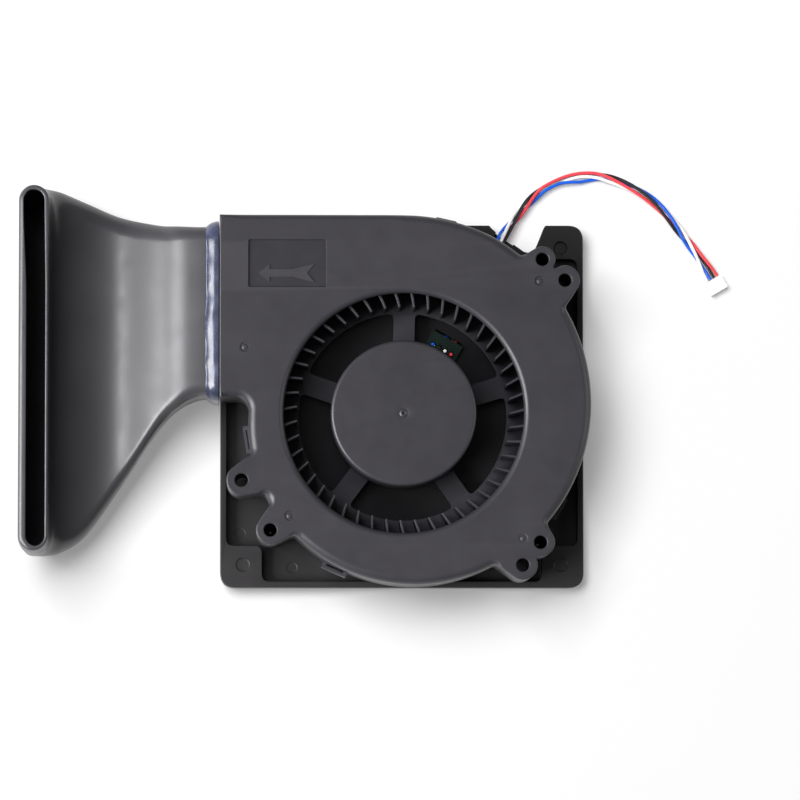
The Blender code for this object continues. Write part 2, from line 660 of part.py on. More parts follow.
def make_rotor(steel, magnet, brass, spring_steel):
    yoke_inside = YOKE_OUTER - YOKE_WALL
    yoke_top = HUB_TOP - HUB_WALL - GAP
    boss_radius = 4 * MM
    turned("rotor_yoke", [(YOKE_OUTER, yoke_top), (YOKE_OUTER, MAGNET_Z[0] - MM),
                          (yoke_inside, MAGNET_Z[0] - MM), (yoke_inside, yoke_top - YOKE_WALL),
                          (boss_radius + GAP, yoke_top - YOKE_WALL), (boss_radius + GAP, yoke_top)],
           32, steel, centre=AXIS)
    turned_ring("rotor_magnet", MAGNET_INNER, MAGNET_OUTER, *MAGNET_Z, 32, magnet, centre=AXIS)
    groove = (11.0 * MM, 11.8 * MM)
    turned("rotor_shaft", [(0.0, SHAFT_Z[1]), (SHAFT_RADIUS - 0.2 * MM, SHAFT_Z[1]),
                           (SHAFT_RADIUS, SHAFT_Z[1] - 0.2 * MM), (SHAFT_RADIUS, groove[1]),
                           (SHAFT_RADIUS - 0.4 * MM, groove[1]),
                           (SHAFT_RADIUS - 0.4 * MM, groove[0]), (SHAFT_RADIUS, groove[0]),
                           (SHAFT_RADIUS, SHAFT_Z[0]), (0.0, SHAFT_Z[0])], 14, steel, centre=AXIS)
    turned_ring("shaft_boss", SHAFT_RADIUS + GAP, boss_radius, 31.5 * MM, yoke_top, 20, brass,
                centre=AXIS)
    clip_inner, clip_outer = 1.35 * MM, 2.7 * MM
    opening = math.radians(35)
    sweep = 2 * math.pi - 2 * opening
    outline = [polar(clip_outer, opening + sweep * i / 10) for i in range(11)]
    outline += [polar(clip_inner, 2 * math.pi - opening - sweep * i / 10) for i in range(11)]
    slab("retaining_clip", [outline], 11.2 * MM, 11.6 * MM, spring_steel)
    turned_ring("spacer_washer", BEARING_BORE, 2.6 * MM, 11.9 * MM, 12.2 * MM, 16, steel,
                centre=AXIS)
    turns, per_turn = 3, 9
    low, high = UPPER_BEARING_Z + BEARING_HEIGHT + GAP + 0.25 * MM, 31.2 * MM - 0.25 * MM
    count = turns * per_turn
    coil = [(*polar(2.4 * MM, 2 * math.pi * i / per_turn), low + (high - low) * i / count)
            for i in range(count + 1)]
    tube("preload_spring", coil, 0.2 * MM, spring_steel, resolution=1)


def make_bearing(name, low, steel, cage):
    """A small ball bearing: two races, with the balls carried in a ring between them."""
    high = low + BEARING_HEIGHT
    turned_ring(name + "_outer_race", OUTER_RACEWAY, BEARING_OUTER, low, high, 20, steel,
                centre=AXIS)
    turned_ring(name + "_inner_race", BEARING_BORE, INNER_RACEWAY, low, high, 16, steel,
                centre=AXIS)
    pitch = (INNER_RACEWAY + OUTER_RACEWAY) / 2
    middle = (low + high) / 2
    carrier = turned_ring(name + "_ball_set", pitch - 0.3 * MM, pitch + 0.3 * MM,
                          middle - 0.3 * MM, middle + 0.3 * MM, 21, cage, centre=AXIS)
    mesh = bpy.data.meshes.new(name + "_balls")
    build = bmesh.new()
    for index in range(BALLS):
        ball = bmesh.ops.create_uvsphere(build, u_segments=8, v_segments=5, radius=BALL_RADIUS)
        place = polar(pitch, 2 * math.pi * index / BALLS)
        bmesh.ops.translate(build, vec=(*place, middle), verts=ball["verts"])
    build.to_mesh(mesh)
    build.free()
    join(carrier, add_object(name + "_balls", mesh, None, helper=True))


# ---------------------------------------------------------------- stator and board

def stator_outline(hub, width, reach, shoe=None):
    """Ring hub with straight pole arms, each ending in a curved shoe if one is asked for."""
    points = []
    half = width / 2
    for index in range(POLES):
        middle = math.radians(45) + 2 * math.pi * index / POLES
        points.append(polar(hub, middle - math.asin(half / hub)))
        if shoe:
            inner, angle = shoe
            points.append(polar(inner, middle - math.asin(half / inner)))
            points.append(polar(inner, middle - angle))
            points += [polar(reach, middle + angle * (i / 3 - 1)) for i in range(7)]
            points.append(polar(inner, middle + angle))
            points.append(polar(inner, middle + math.asin(half / inner)))
        else:
            points.append(polar(reach, middle - math.asin(half / reach)))
            points.append(polar(reach, middle + math.asin(half / reach)))
        points.append(polar(hub, middle + math.asin(half / hub)))
        gap_turn = math.pi / POLES
        points.append(polar(hub, middle + gap_turn))
    return points


def make_stator(steel, nylon, copper):
    bore = ring_points(CORE_BORE, 20, AXIS)
    slab("stator_core", [stator_outline(CORE_HUB, POLE_WIDTH, STATOR_RADIUS,
                                        (SHOE_INNER, SHOE_HALF_ANGLE)), bore],
         *STATOR_Z, steel)
    frame = stator_outline(CORE_HUB, POLE_WIDTH, SHOE_INNER - GAP)
    slab("stator_upper_insulator", [frame, bore], STATOR_Z[1] + GAP,
         STATOR_Z[1] + GAP + INSULATOR, nylon)
    slab("stator_lower_insulator", [frame, bore], STATOR_Z[0] - GAP - INSULATOR,
         STATOR_Z[0] - GAP, nylon)
    half_width = POLE_WIDTH / 2 + GAP
    half_height = (STATOR_Z[1] - STATOR_Z[0]) / 2 + INSULATOR + 2 * GAP
    middle_z = (STATOR_Z[0] + STATOR_Z[1]) / 2
    window = rounded_box(-half_height, half_height, -half_width, half_width, 0.5 * MM, 2)
    outside = rounded_box(-half_height - COIL_THICKNESS, half_height + COIL_THICKNESS,
                          -half_width - COIL_THICKNESS, half_width + COIL_THICKNESS, 2 * MM, 3)
    for index in range(POLES):
        coil = slab(f"stator_coil_{index + 1}", [outside, window], *COIL_REACH, copper)
        angle = math.radians(45) + 2 * math.pi * index / POLES
        middle = (COIL_REACH[0] + COIL_REACH[1]) / 2
        coil.location = (*polar(middle, angle), middle_z)
        coil.rotation_euler = (0.0, math.pi / 2, angle)


def lead_places():
    """Where the four wires pass through the board, across the tongue."""
    along = Vector((math.cos(TONGUE_ANGLE), math.sin(TONGUE_ANGLE)))
    aside = Vector((-along.y, along.x))
    return [AXIS.xy + along * LEAD_ROW + aside * LEAD_PITCH * (1.5 - index) for index in range(4)]


def make_board(fibreglass, black, brown):
    turn = math.asin(TONGUE_HALF_WIDTH / BOARD_RADIUS)
    sweep = 2 * math.pi - 2 * turn
    outline = [polar(BOARD_RADIUS, TONGUE_ANGLE + turn + sweep * i / 22) for i in range(23)]
    along = Vector((math.cos(TONGUE_ANGLE), math.sin(TONGUE_ANGLE)))
    aside = Vector((-along.y, along.x))
    outline += [tuple(AXIS.xy + along * TONGUE_REACH + aside * side * TONGUE_HALF_WIDTH)
                for side in (-1, 1)]
    holes = [ring_points(WIRE_RADIUS + GAP, 8, place) for place in lead_places()]
    slab("circuit_board", [outline, ring_points(BOARD_HOLE, 20, AXIS)] + holes, *BOARD_Z,
         fibreglass)
    base = BOARD_Z[1] + GAP
    chip = (5.0 * MM, 4.0 * MM, 1.4 * MM)
    block("driver_chip", chip, (*polar(15.5 * MM, math.pi), base + chip[2] / 2), black)
    sensor = (1.6 * MM, 3.0 * MM, 1.4 * MM)
    block("hall_sensor", sensor, (*polar(17.5 * MM, 0.0), base + sensor[2] / 2), black)
    post("filter_capacitor", 2.0 * MM, base, base + 2.2 * MM, 16, brown,
         centre=polar(15.5 * MM, -math.pi / 2))


# ---------------------------------------------------------------- lead

def twist_at(share):
    """Angle that the bundle has turned through, eased between the places in TWIST."""
    for (first, start), (second, stop) in zip(TWIST, TWIST[1:]):
        if share <= second:
            t = (share - first) / (second - first)
            return math.radians(start + (stop - start) * t)
    return math.radians(TWIST[-1][1])


def traded_at(share):
    """How far two of the wires have traded places: 0 outside the exchange, 1 inside it."""
    traded = 0.0
    for sign, (start, stop) in zip((1, -1), EXCHANGE):
        t = min(max((share - start) / (stop - start), 0.0), 1.0)
        traded += sign * t * t * (3 - 2 * t)
    return traded


def strand_points(name):
    """Centreline of one wire: wound round the bundle's route, then fanned to the connector."""
    centre = smooth_points(LEAD_ROUTE, LEAD_SAMPLES)
    points = []
    for index, point in enumerate(centre):
        share = index / (len(centre) - 1)
        before, after = centre[max(index - 1, 0)], centre[min(index + 1, len(centre) - 1)]
        ahead = after - before
        aside = Vector((-ahead.y, ahead.x, 0.0)).normalized()
        angle = twist_at(share) + math.radians(STRANDS[name])
        traded = traded_at(share)
        turn, swell = EXCHANGED.get(name, (0, 0.0))
        angle += math.radians(turn) * traded
        radius = TWIST_RADIUS + 4 * swell * traded * (1 - traded)
        fan = min(max((share - FAN_START) / (1.0 - FAN_START), 0.0), 1.0)
        fan = fan * fan * (3 - 2 * fan)
        sideways = radius * math.cos(angle) * (1 - fan) + connector_offset(name) * fan
        upward = radius * math.sin(angle) * (1 - fan * fan)
        points.append(point + aside * sideways + Vector((0.0, 0.0, upward)))
    return points


def connector_offset(name):
    return CONNECTOR_PITCH * (1.5 - CONNECTOR_ORDER.index(name))


def make_lead(materials, nylon, tin):
    for name in STRANDS:
        tube(name + "_wire", strand_points(name), WIRE_RADIUS, materials[name])
    route = smooth_points(LEAD_ROUTE, LEAD_SAMPLES)
    ahead = (route[-1] - route[-2]).xy.normalized().to_3d()
    turn = math.atan2(ahead.y, ahead.x)
    aside = Vector((-ahead.y, ahead.x, 0.0))
    length, width, height = CONNECTOR_SIZE
    middle = route[-1] + ahead * (GAP + length / 2)
    middle.z = height / 2 + 0.1 * MM
    housing = block("connector_housing", CONNECTOR_SIZE, middle, nylon, turn=turn)
    for index, name in enumerate(CONNECTOR_ORDER):
        place = middle + aside * connector_offset(name)
        cut(housing, block(f"socket_cutter_{index}", (length + 2 * MM, *SOCKET), place,
                           helper=True, turn=turn))
        block(f"crimp_terminal_{index + 1}", (length - MM, SOCKET[0] - GAP, SOCKET[1] - 2 * GAP),
              place, tin, turn=turn)


def make_inner_leads(materials):
    """The same wires inside the blower: up from the tray through the board's holes."""
    along = Vector((math.cos(TONGUE_ANGLE), math.sin(TONGUE_ANGLE), 0.0))
    for name, place in zip(BOARD_ORDER, lead_places()):
        start = Vector((*place, BOARD_Z[1] + 0.7 * MM))
        end = strand_points(name)[0] - along * GAP
        route = [start]
        for share, height in ((0.0, 10.9), (0.02, 8.8), (0.16, 7.0), (0.45, 5.9)):
            point = start.lerp(end, share)
            lift = (end.z - LEAD_ROUTE[0][2] * MM) * share
            route.append(Vector((point.x, point.y, height * MM + lift)))
        route += [end - along * 1.5 * MM, end]
        points = smooth_points([tuple(point / MM) for point in route], 11)
        tube(name + "_inner_lead", points, WIRE_RADIUS, materials[name])


def make_screws(steel):
    """Self-tapping screws that hold the blower on the tray, driven from behind."""
    head_radius, head_height, shank = 3.6 * MM, 1.6 * MM, 1.8 * MM
    tip = 16 * MM
    low = 0.2 * MM
    for name in SCREWED_EARS:
        x, y, _ = EARS[name]
        neck = low + head_height
        profile = [(0.0, tip), (0.4 * MM, tip), (shank, tip - 2 * MM), (shank, neck),
                   (head_radius, neck), (head_radius, low + 0.5 * MM),
                   (head_radius - 0.7 * MM, low), (0.0, low)]
        turned("tray_screw_" + name, profile, 14, steel, centre=(x, y))


def main():
    for item in list(bpy.data.objects):
        bpy.data.objects.remove(item)
    grey = make_material("charcoal plastic", (0.07, 0.068, 0.075), 0.5)
    tray_grey = make_material("dark tray plastic", (0.045, 0.044, 0.046), 0.55)
    gloss = make_material("glossy duct plastic", (0.06, 0.06, 0.065), 0.3)
    sealant = make_material("blue sealant", (0.05, 0.07, 0.2), 0.12)
    steel = make_material("steel", (0.6, 0.6, 0.6), 0.3, 1.0)
    magnet = make_material("ferrite", (0.03, 0.03, 0.03), 0.6)
    brass = make_material("brass", (0.75, 0.55, 0.25), 0.3, 1.0)
    copper = make_material("copper winding", (0.7, 0.3, 0.12), 0.35, 1.0)
    fibreglass = make_material("circuit board", (0.02, 0.15, 0.06), 0.4)
    black = make_material("black epoxy", (0.02, 0.02, 0.02), 0.5)
    brown = make_material("capacitor can", (0.35, 0.2, 0.08), 0.4)
    nylon = make_material("white nylon", (0.85, 0.85, 0.83), 0.45)
    insulation = {
        "red": make_material("red insulation", (0.75, 0.06, 0.07), 0.4),
        "white": nylon,
        "black": make_material("black insulation", (0.02, 0.02, 0.02), 0.4),
        "blue": make_material("blue insulation", (0.01, 0.1, 0.6), 0.4),
    }
    make_tray(tray_grey)
    make_screws(steel)
    make_back_shell(grey)
    make_front_shell(grey)
    make_duct(gloss)
    make_bead(sealant)
    turned("bearing_tube", tube_profile(), 20, brass, centre=AXIS)
    make_bearing("lower_bearing", LOWER_BEARING_Z, steel, brass)
    make_bearing("upper_bearing", UPPER_BEARING_Z, steel, brass)
    make_stator(steel, nylon, copper)
    make_board(fibreglass, black, brown)
    make_impeller(grey)
    make_rotor(steel, magnet, brass, steel)
    make_inner_leads(insulation)
    make_lead(insulation, nylon, steel)


def tube_profile():
    """The bearing tube: a seat at each end and a shoulder between the bearings."""
    seat = BEARING_OUTER + GAP
    shoulder = 4.3 * MM
    lower_stop = LOWER_BEARING_Z + BEARING_HEIGHT + GAP
    upper_stop = UPPER_BEARING_Z - GAP
    return [(TUBE_RADIUS, TUBE_Z[1]), (TUBE_RADIUS, TUBE_Z[0]), (seat, TUBE_Z[0]),
            (seat, lower_stop), (shoulder, lower_stop), (shoulder, upper_stop),
            (seat, upper_stop), (seat, TUBE_Z[1])]


PART = make_collection("radial blower with slot duct")
CUTTERS = make_collection("cutters")
main()
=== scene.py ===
"""Looks of a radial blower on a square tray, with a flared slot duct and a four-wire lead.

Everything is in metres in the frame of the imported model: the tray lies on the floor at z = 0, the
air inlet faces +Z and the duct leaves towards -X.
"""
import json
import math

import bmesh
import bpy
from mathutils import Matrix, Vector, noise


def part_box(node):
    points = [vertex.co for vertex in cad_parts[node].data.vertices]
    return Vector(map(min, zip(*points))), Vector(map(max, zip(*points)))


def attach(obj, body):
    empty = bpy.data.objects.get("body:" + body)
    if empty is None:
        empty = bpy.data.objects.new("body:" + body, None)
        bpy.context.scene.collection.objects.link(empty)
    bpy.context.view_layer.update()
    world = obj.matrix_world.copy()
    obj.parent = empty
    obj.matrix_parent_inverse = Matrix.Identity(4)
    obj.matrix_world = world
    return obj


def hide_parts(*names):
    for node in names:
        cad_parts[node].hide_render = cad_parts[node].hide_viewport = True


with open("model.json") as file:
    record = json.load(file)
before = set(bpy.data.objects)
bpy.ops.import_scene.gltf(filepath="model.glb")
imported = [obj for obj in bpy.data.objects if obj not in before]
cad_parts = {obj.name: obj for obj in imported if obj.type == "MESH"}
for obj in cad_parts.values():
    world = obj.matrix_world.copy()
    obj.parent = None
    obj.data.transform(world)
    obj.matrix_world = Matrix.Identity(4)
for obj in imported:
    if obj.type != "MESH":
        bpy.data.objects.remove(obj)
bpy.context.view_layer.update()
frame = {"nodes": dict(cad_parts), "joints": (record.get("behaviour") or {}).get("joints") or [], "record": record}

MM = 0.001
GAP = 0.3 * MM
AXIS = Vector(frame["joints"][0]["pos_m"]).xy     # the line that the rotor turns about

TRAY_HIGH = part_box("mounting_tray")[1]
BACK_LOW, BACK_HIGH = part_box("back_shell")
FRONT_LOW, FRONT_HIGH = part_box("front_shell")
FAN_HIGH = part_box("impeller")[1]
DUCT_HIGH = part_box("outlet_duct")[1]
BEAD_LOW, BEAD_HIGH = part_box("sealant_bead")

# Camera and light
CAMERA_TARGET = Vector((-0.97, 1.0, 24.0)) * MM
CAMERA_DISTANCE = 1.885
CAMERA_TILT = math.radians(3.64)                  # towards -Y
CAMERA_ROLL = math.radians(1.23)                  # towards -X
CAMERA_LENS = 258.8
CAMERA_SENSOR = 36.0
WORLD_STRENGTH = 0.09
FLOOR_GLOW = 0.235                   # keeps the shadows as pale as in the photo

# Lead: the bundle's centreline from under the blower to the connector (mm)
WIRE_RADIUS = 0.55 * MM
LEAD_ROUTE = [
    (18.3, 25.1, 5.6), (22.1, 32.0, 5.5), (25.5, 38.6, 5.4), (28.6, 45.2, 5.3), (31.2, 51.2, 5.2),
    (33.5, 56.0, 5.0), (36.2, 60.6, 4.0), (39.6, 65.2, 2.9), (43.0, 69.0, 2.2), (47.2, 72.6, 1.8),
    (52.5, 75.4, 1.7), (57.6, 77.0, 1.7), (62.8, 77.4, 1.7), (68.0, 76.6, 1.7), (73.0, 74.9, 1.7),
    (78.0, 72.5, 1.7), (82.6, 69.6, 1.7), (86.8, 65.8, 1.7), (90.6, 61.4, 1.7), (94.2, 56.6, 1.7),
    (97.8, 51.8, 1.8), (101.0, 46.8, 1.9), (103.3, 42.9, 2.0),
]
LEAD_SAMPLES = 40
TWIST_RADIUS = 1.0 * MM
STRANDS = {"red": 0, "black": -90, "blue": -180, "white": 90}    # degrees round the bundle
EXCHANGE = ((0.17, 0.31), (0.47, 0.61))     # where blue and white trade places, and trade back
EXCHANGED = {"blue": (-90, 1.1 * MM), "white": (90, -0.6 * MM)}     # turn, and swell on the way
TWIST = [(0.0, 180), (0.17, 20), (0.30, -110), (0.43, -310), (0.585, -318), (0.65, -250),
         (0.74, -180), (0.84, -90), (0.91, 20), (1.0, 50)]
FAN_START = 0.91
CONNECTOR_ORDER = ("red", "black", "blue", "white")
CONNECTOR_PITCH = 1.3 * MM
CONNECTOR_SIZE = (4.6 * MM, 6.2 * MM, 3.2 * MM)
SOCKET = (0.8 * MM, 1.9 * MM)

# Housing
SKIN = 2 * MM
WALL = 1.8 * MM
SPIRAL_START = math.radians(-180)
SPIRAL_SPAN = math.radians(250)
SPIRAL_RADIUS = 50.5 * MM
SPIRAL_GROWTH = 14.5 * MM
SPIRAL_LIMIT = 64.6 * MM
OUTLET_X = -60 * MM
OUTLET_LOW_Y = 1 * MM
CUTOFF_FILLET = 4 * MM
INLET_RADIUS = 39.1 * MM
INLET_LIP = 1.8 * MM
INLET_SIDES = 144
OUTLINE_STEP = 0.6 * MM
SHOULDER = 2.7 * MM                 # rounding of the spiral wall's front edge
EAR_EDGE = 0.5 * MM                 # rounding of the ears' front edge
EAR_HOLE_RADIUS = 2.15 * MM
EAR_FLANK_SLOPE = 2.6
EAR_BLEND = 2.4 * MM
EARS = {
    "a": (45.1 * MM, 46.0 * MM, 4.2 * MM),
    "b": (52.5 * MM, 39.2 * MM, 4.8 * MM),
    "c": (-52.8 * MM, -26.1 * MM, 4.9 * MM),
    "d": (-43.4 * MM, -42.3 * MM, 4.6 * MM),
    "e": (44.4 * MM, -46.2 * MM, 4.6 * MM),
    "f": (38.6 * MM, -53.6 * MM, 4.8 * MM),
}
SCREWED_EARS = ("a", "d", "e")
LABEL_CENTRE = Vector((-37.95, 44.55)) * MM
LABEL_SIZE = Vector((25.2, 15.3)) * MM
LABEL_DEPTH = 0.6 * MM
PINS = [((-51.8, 17.2), 0.35), ((-37.2, -37.7), 0.35), ((44.2, 38.9), 0.35),
        ((38.7, -44.9), 0.1)]       # centre (mm) and depth (mm) of each domed ejector mark
CLIPS = [(-170.8, 9.0, 1.5), (-114.0, 8.8, 2.0), (-30.8, 7.6, 1.3),
         (77.5, 7.0, 1.2)]          # direction (degrees), width and reach (mm) of each snap loop

# Duct stations: top x, top z, bottom x, bottom z, far side y, near side y, corner radius (mm)
DUCT_STATIONS = [
    (-60.3, 37.4, -60.3, 11.0, 57.0, 1.4, 4.5),
    (-67.0, 36.9, -67.0, 9.7, 57.0, 1.2, 4.8),
    (-73.5, 35.3, -74.0, 7.4, 57.4, -2.1, 5.2),
    (-80.0, 31.4, -81.0, 5.2, 58.1, -9.2, 6.0),
    (-92.0, 24.8, -94.5, 2.2, 61.3, -28.0, 7.0),
    (-102.5, 23.3, -107.0, 1.2, 66.1, -43.4, 7.5),
    (-110.2, 24.6, -117.5, 3.6, 69.5, -49.2, 7.0),
    (-114.6, 29.2, -124.0, 14.0, 70.2, -50.1, 6.0),
    (-115.3, 38.5, -125.1, 33.0, 69.8, -50.0, 4.9),
    (-115.3, 45.0, -125.1, 45.0, 69.5, -49.2, 4.9),
]
DUCT_WALL = 1.5 * MM
DUCT_RINGS = 72
DUCT_ARC = 14                       # points round each corner of a ring
DUCT_FLATS = (30, 6)                # points along its long sides and its short ones
RIM_EDGE = 0.6 * MM
OUTER_RIM_EDGE = 0.9 * MM           # more on the side away from the blower
SLOT_LEAN = (1.1 * MM, 0.4 * MM)    # of the slot's outer and inner side, at its far end
BEAD_RISE = 1.75                    # mm above the duct's skin at the blower

# Impeller
VANES = 47
ARMS = 5
ARM_FIRST = math.radians(17)
ARM_WIDTH = 7 * MM
ARM_FLARE = 1.8 * MM
HUB_RADIUS = 23.75 * MM
HUB_WALL = 1.5 * MM
HUB_BOTTOM = 14.2 * MM
HUB_SIDES = 120
RING_SIDES = 188
RING_INNER = 34.2 * MM
RING_OUTER = 44.5 * MM
RING_Z = (14.5 * MM, 16.5 * MM)
VANE_INNER = 34.8 * MM
VANE_OUTER = 44.2 * MM
VANE_THICKNESS = 0.85 * MM
VANE_TOP = 36 * MM
VANE_PHASE = math.radians(0.2)
VANE_SWEEP = math.radians(3.8)
BAND_INNER = 43.2 * MM
BAND_Z = (34.8 * MM, 36.4 * MM)

# Tray
TRAY_FLOOR = 3 * MM
TRAY_CORNER = 5 * MM
TRAY_RIM = 2.1 * MM
TRAY_PAD = 11.8 * MM
TRAY_EDGE = 0.35 * MM
MOUNT_PITCH = 105 * MM
NOTCH = [(28.6, 60.6), (29.6, 59.2), (32.3, 56.9), (35.6, 54.7), (38.9, 52.4),
         (40.5, 51.3), (42.3, 51.1), (44.1, 52.2), (47.6, 60.6)]


# ---------------------------------------------------------------- materials

class Paint:
    """A node material whose nodes and links are made in a few short calls."""

    def __init__(self, name, roughness, metallic=0.0, ior=1.5, coat=0.0):
        self.material = bpy.data.materials.new(name)
        self.material.use_nodes = True
        self.tree = self.material.node_tree
        self.shader = self.tree.nodes["Principled BSDF"]
        self.place = self.node("ShaderNodeTexCoord").outputs["Object"]
        self.finish({"Roughness": roughness, "Metallic": metallic, "IOR": ior,
                     "Coat Weight": coat})

    def feed(self, node, inputs):
        """Fill a node's inputs: another node's output is linked, anything else is a value."""
        for key, value in inputs.items():
            socket = node.inputs[key]
            if isinstance(value, bpy.types.NodeSocket):
                self.tree.links.new(value, socket)
            elif isinstance(value, tuple) and socket.type == "RGBA":
                socket.default_value = (*value, 1.0)
            else:
                socket.default_value = value
        return node

    def finish(self, inputs):
        self.feed(self.shader, inputs)

    def node(self, kind, inputs=None, **settings):
        made = self.tree.nodes.new(kind)
        for key, value in settings.items():
            setattr(made, key, value)
        return self.feed(made, inputs or {})

    def math(self, operation, first, second):
        return self.node("ShaderNodeMath", {0: first, 1: second}, operation=operation).outputs[0]

    def stretched(self, scale):
        """The object's coordinates, stretched along its axes."""
        return self.node("ShaderNodeMapping",
                         {"Scale": scale, "Vector": self.place}).outputs["Vector"]

    def noise(self, scale, detail=3.0, rough=0.55, place=None):
        return self.node("ShaderNodeTexNoise", {
            "Scale": scale, "Detail": detail, "Roughness": rough,
            "Vector": place or self.place}).outputs["Fac"]

    def ramp(self, value, stops):
        """A colour ramp: stops are (position, colour)."""
        made = self.node("ShaderNodeValToRGB", {"Fac": value})
        elements = made.color_ramp.elements
        while len(elements) < len(stops):
            elements.new(0.5)
        for element, (position, colour) in zip(elements, stops):
            element.position = position
            element.color = (*colour, 1.0)
        return made.outputs["Color"]

    def spread(self, value, low, high, start=0.3, stop=0.7):
        """Map a value's range from start to stop onto low to high."""
        return self.node("ShaderNodeMapRange", {
            "Value": value, "From Min": start, "From Max": stop,
            "To Min": low, "To Max": high}).outputs["Result"]

    def mix(self, share, first, second):
        """Blend two colours: inputs 0, 6 and 7 are the node's factor and its two colours."""
        return self.node("ShaderNodeMix", {0: share, 6: first, 7: second},
                         data_type="RGBA").outputs[2]

    def colour(self, output):
        self.finish({"Base Color": output})

    def roughness(self, output):
        self.finish({"Roughness": output})

    def bump(self, height, depth, strength, before=None):
        inputs = {"Distance": depth, "Strength": strength, "Height": height}
        if before:
            inputs["Normal"] = before
        normal = self.node("ShaderNodeBump", inputs).outputs["Normal"]
        self.finish({"Normal": normal})
        return normal

    def inside_box(self, low, high):
        """1 inside a box given by two corners, 0 outside it."""
        parts = self.node("ShaderNodeSeparateXYZ", {"Vector": self.place})
        inside = None
        for axis in range(3):
            for limit, operation in ((low[axis], "GREATER_THAN"), (high[axis], "LESS_THAN")):
                test = self.math(operation, parts.outputs[axis], limit)
                inside = self.math("MULTIPLY", inside, test) if inside else test
        return inside

    def edges(self):
        """Bright where the surface is convex, as along a worn edge."""
        geometry = self.node("ShaderNodeNewGeometry")
        return self.spread(geometry.outputs["Pointiness"], 0.0, 1.0, 0.52, 0.6)


def tint(colour, factor):
    return tuple(min(1.0, part * factor) for part in colour)


def moulded_plastic(name, colour, roughness, grain=0.5, ior=1.5, wear=0.25, darker=()):
    """Moulded plastic: mottled colour, spark-eroded grain, faint scuffs and paler worn edges.

    darker holds boxes, each as (low corner, high corner, factor), inside which it is darker.
    """
    paint = Paint(name, roughness, ior=ior)
    mottle = paint.noise(45, 4)
    base = paint.ramp(mottle, [(0.3, tint(colour, 0.9)), (0.7, tint(colour, 1.1))])
    dust = paint.spread(paint.noise(700, 6, 0.7), 0.0, 0.35, 0.62, 0.8)
    base = paint.mix(dust, base, tint(colour, 1.9))
    scuff = paint.spread(paint.noise(60, 5, 0.6, paint.stretched((1.0, 9.0, 3.0))),
                         0.0, wear, 0.62, 0.74)
    base = paint.mix(scuff, base, tint(colour, 1.5))
    base = paint.mix(paint.spread(paint.edges(), 0.0, wear, 0.0, 1.0), base, tint(colour, 2.0))
    for low, high, factor in darker:
        base = paint.mix(paint.inside_box(low, high), base, tint(colour, factor))
    paint.colour(base)
    fine = paint.noise(2600, 3, 0.6)
    paint.roughness(paint.spread(paint.noise(160, 5, 0.6), roughness - 0.05, roughness + 0.06))
    waves = paint.bump(paint.noise(28, 2), 0.25 * MM, 0.10)
    paint.bump(fine, 0.03 * MM, grain, waves)
    return paint.material


def metal(name, colour, roughness, brush=(1.0, 1.0, 1.0), scale=900):
    """Turned or rolled metal with fine tool marks, spots of tarnish and uneven polish."""
    paint = Paint(name, roughness, metallic=1.0)
    tarnish = paint.spread(paint.noise(260, 5, 0.65), 0.0, 0.5, 0.5, 0.75)
    paint.colour(paint.mix(tarnish, colour, tint(colour, 0.55)))
    marks = paint.noise(scale, 4, 0.6, paint.stretched(brush))
    paint.roughness(paint.spread(marks, roughness - 0.06, roughness + 0.1))
    paint.bump(marks, 0.02 * MM, 0.4)
    return paint.material


def wire_insulation(name, colour):
    """Soft insulation: drawn along its length, with faint dirt and a satin shine."""
    paint = Paint(name, 0.38, ior=1.5)
    shade = paint.noise(240, 4)
    base = paint.ramp(shade, [(0.3, tint(colour, 0.86)), (0.7, tint(colour, 1.08))])
    dirt = paint.spread(paint.noise(900, 4, 0.6), 0.0, 0.25, 0.6, 0.8)
    paint.colour(paint.mix(dirt, base, tint(colour, 0.55)))
    paint.roughness(paint.spread(paint.noise(600, 3), 0.32, 0.46))
    paint.bump(paint.noise(1800, 3), 0.03 * MM, 0.35)
    return paint.material


def cured_sealant():
    """Navy sealant: a dark shiny body with dents, cloudy patches and trapped bubbles."""
    paint = Paint("sealant", 0.2, ior=1.5, coat=0.35)
    paint.finish({"Coat Roughness": 0.16})
    body = paint.noise(130, 4, 0.6)
    base = paint.ramp(body, [(0.32, (0.020, 0.023, 0.042)), (0.5, (0.030, 0.035, 0.066)),
                             (0.7, (0.050, 0.057, 0.098))])
    bubbles = paint.node("ShaderNodeTexVoronoi", {"Scale": 420, "Vector": paint.place})
    speck = paint.spread(bubbles.outputs["Distance"], 0.5, 0.0, 0.04, 0.16)
    paint.colour(paint.mix(speck, base, (0.10, 0.12, 0.18)))
    paint.roughness(paint.spread(paint.noise(500, 3), 0.18, 0.32))
    lumps = paint.bump(paint.noise(170, 3, 0.5), 0.5 * MM, 0.06)
    paint.bump(paint.noise(900, 3, 0.5), 0.06 * MM, 0.2, lumps)
    return paint.material


def copper_winding():
    """Enamelled wire laid turn beside turn round each pole."""
    paint = Paint("copper_winding", 0.32, metallic=0.85)
    shift = paint.node("ShaderNodeMapping", {"Location": (-AXIS.x, -AXIS.y, 0.0),
                                             "Vector": paint.place})
    turns = paint.node("ShaderNodeTexWave", {"Scale": 900, "Distortion": 0.4,
                                             "Vector": shift.outputs["Vector"]},
                       wave_type="RINGS", rings_direction="Z")
    paint.colour(paint.ramp(turns.outputs["Fac"], [(0.1, (0.16, 0.045, 0.015)),
                                                   (0.6, (0.72, 0.27, 0.09))]))
    paint.bump(turns.outputs["Fac"], 0.12 * MM, 0.8)
    paint.roughness(paint.spread(paint.noise(500), 0.26, 0.42))
    return paint.material


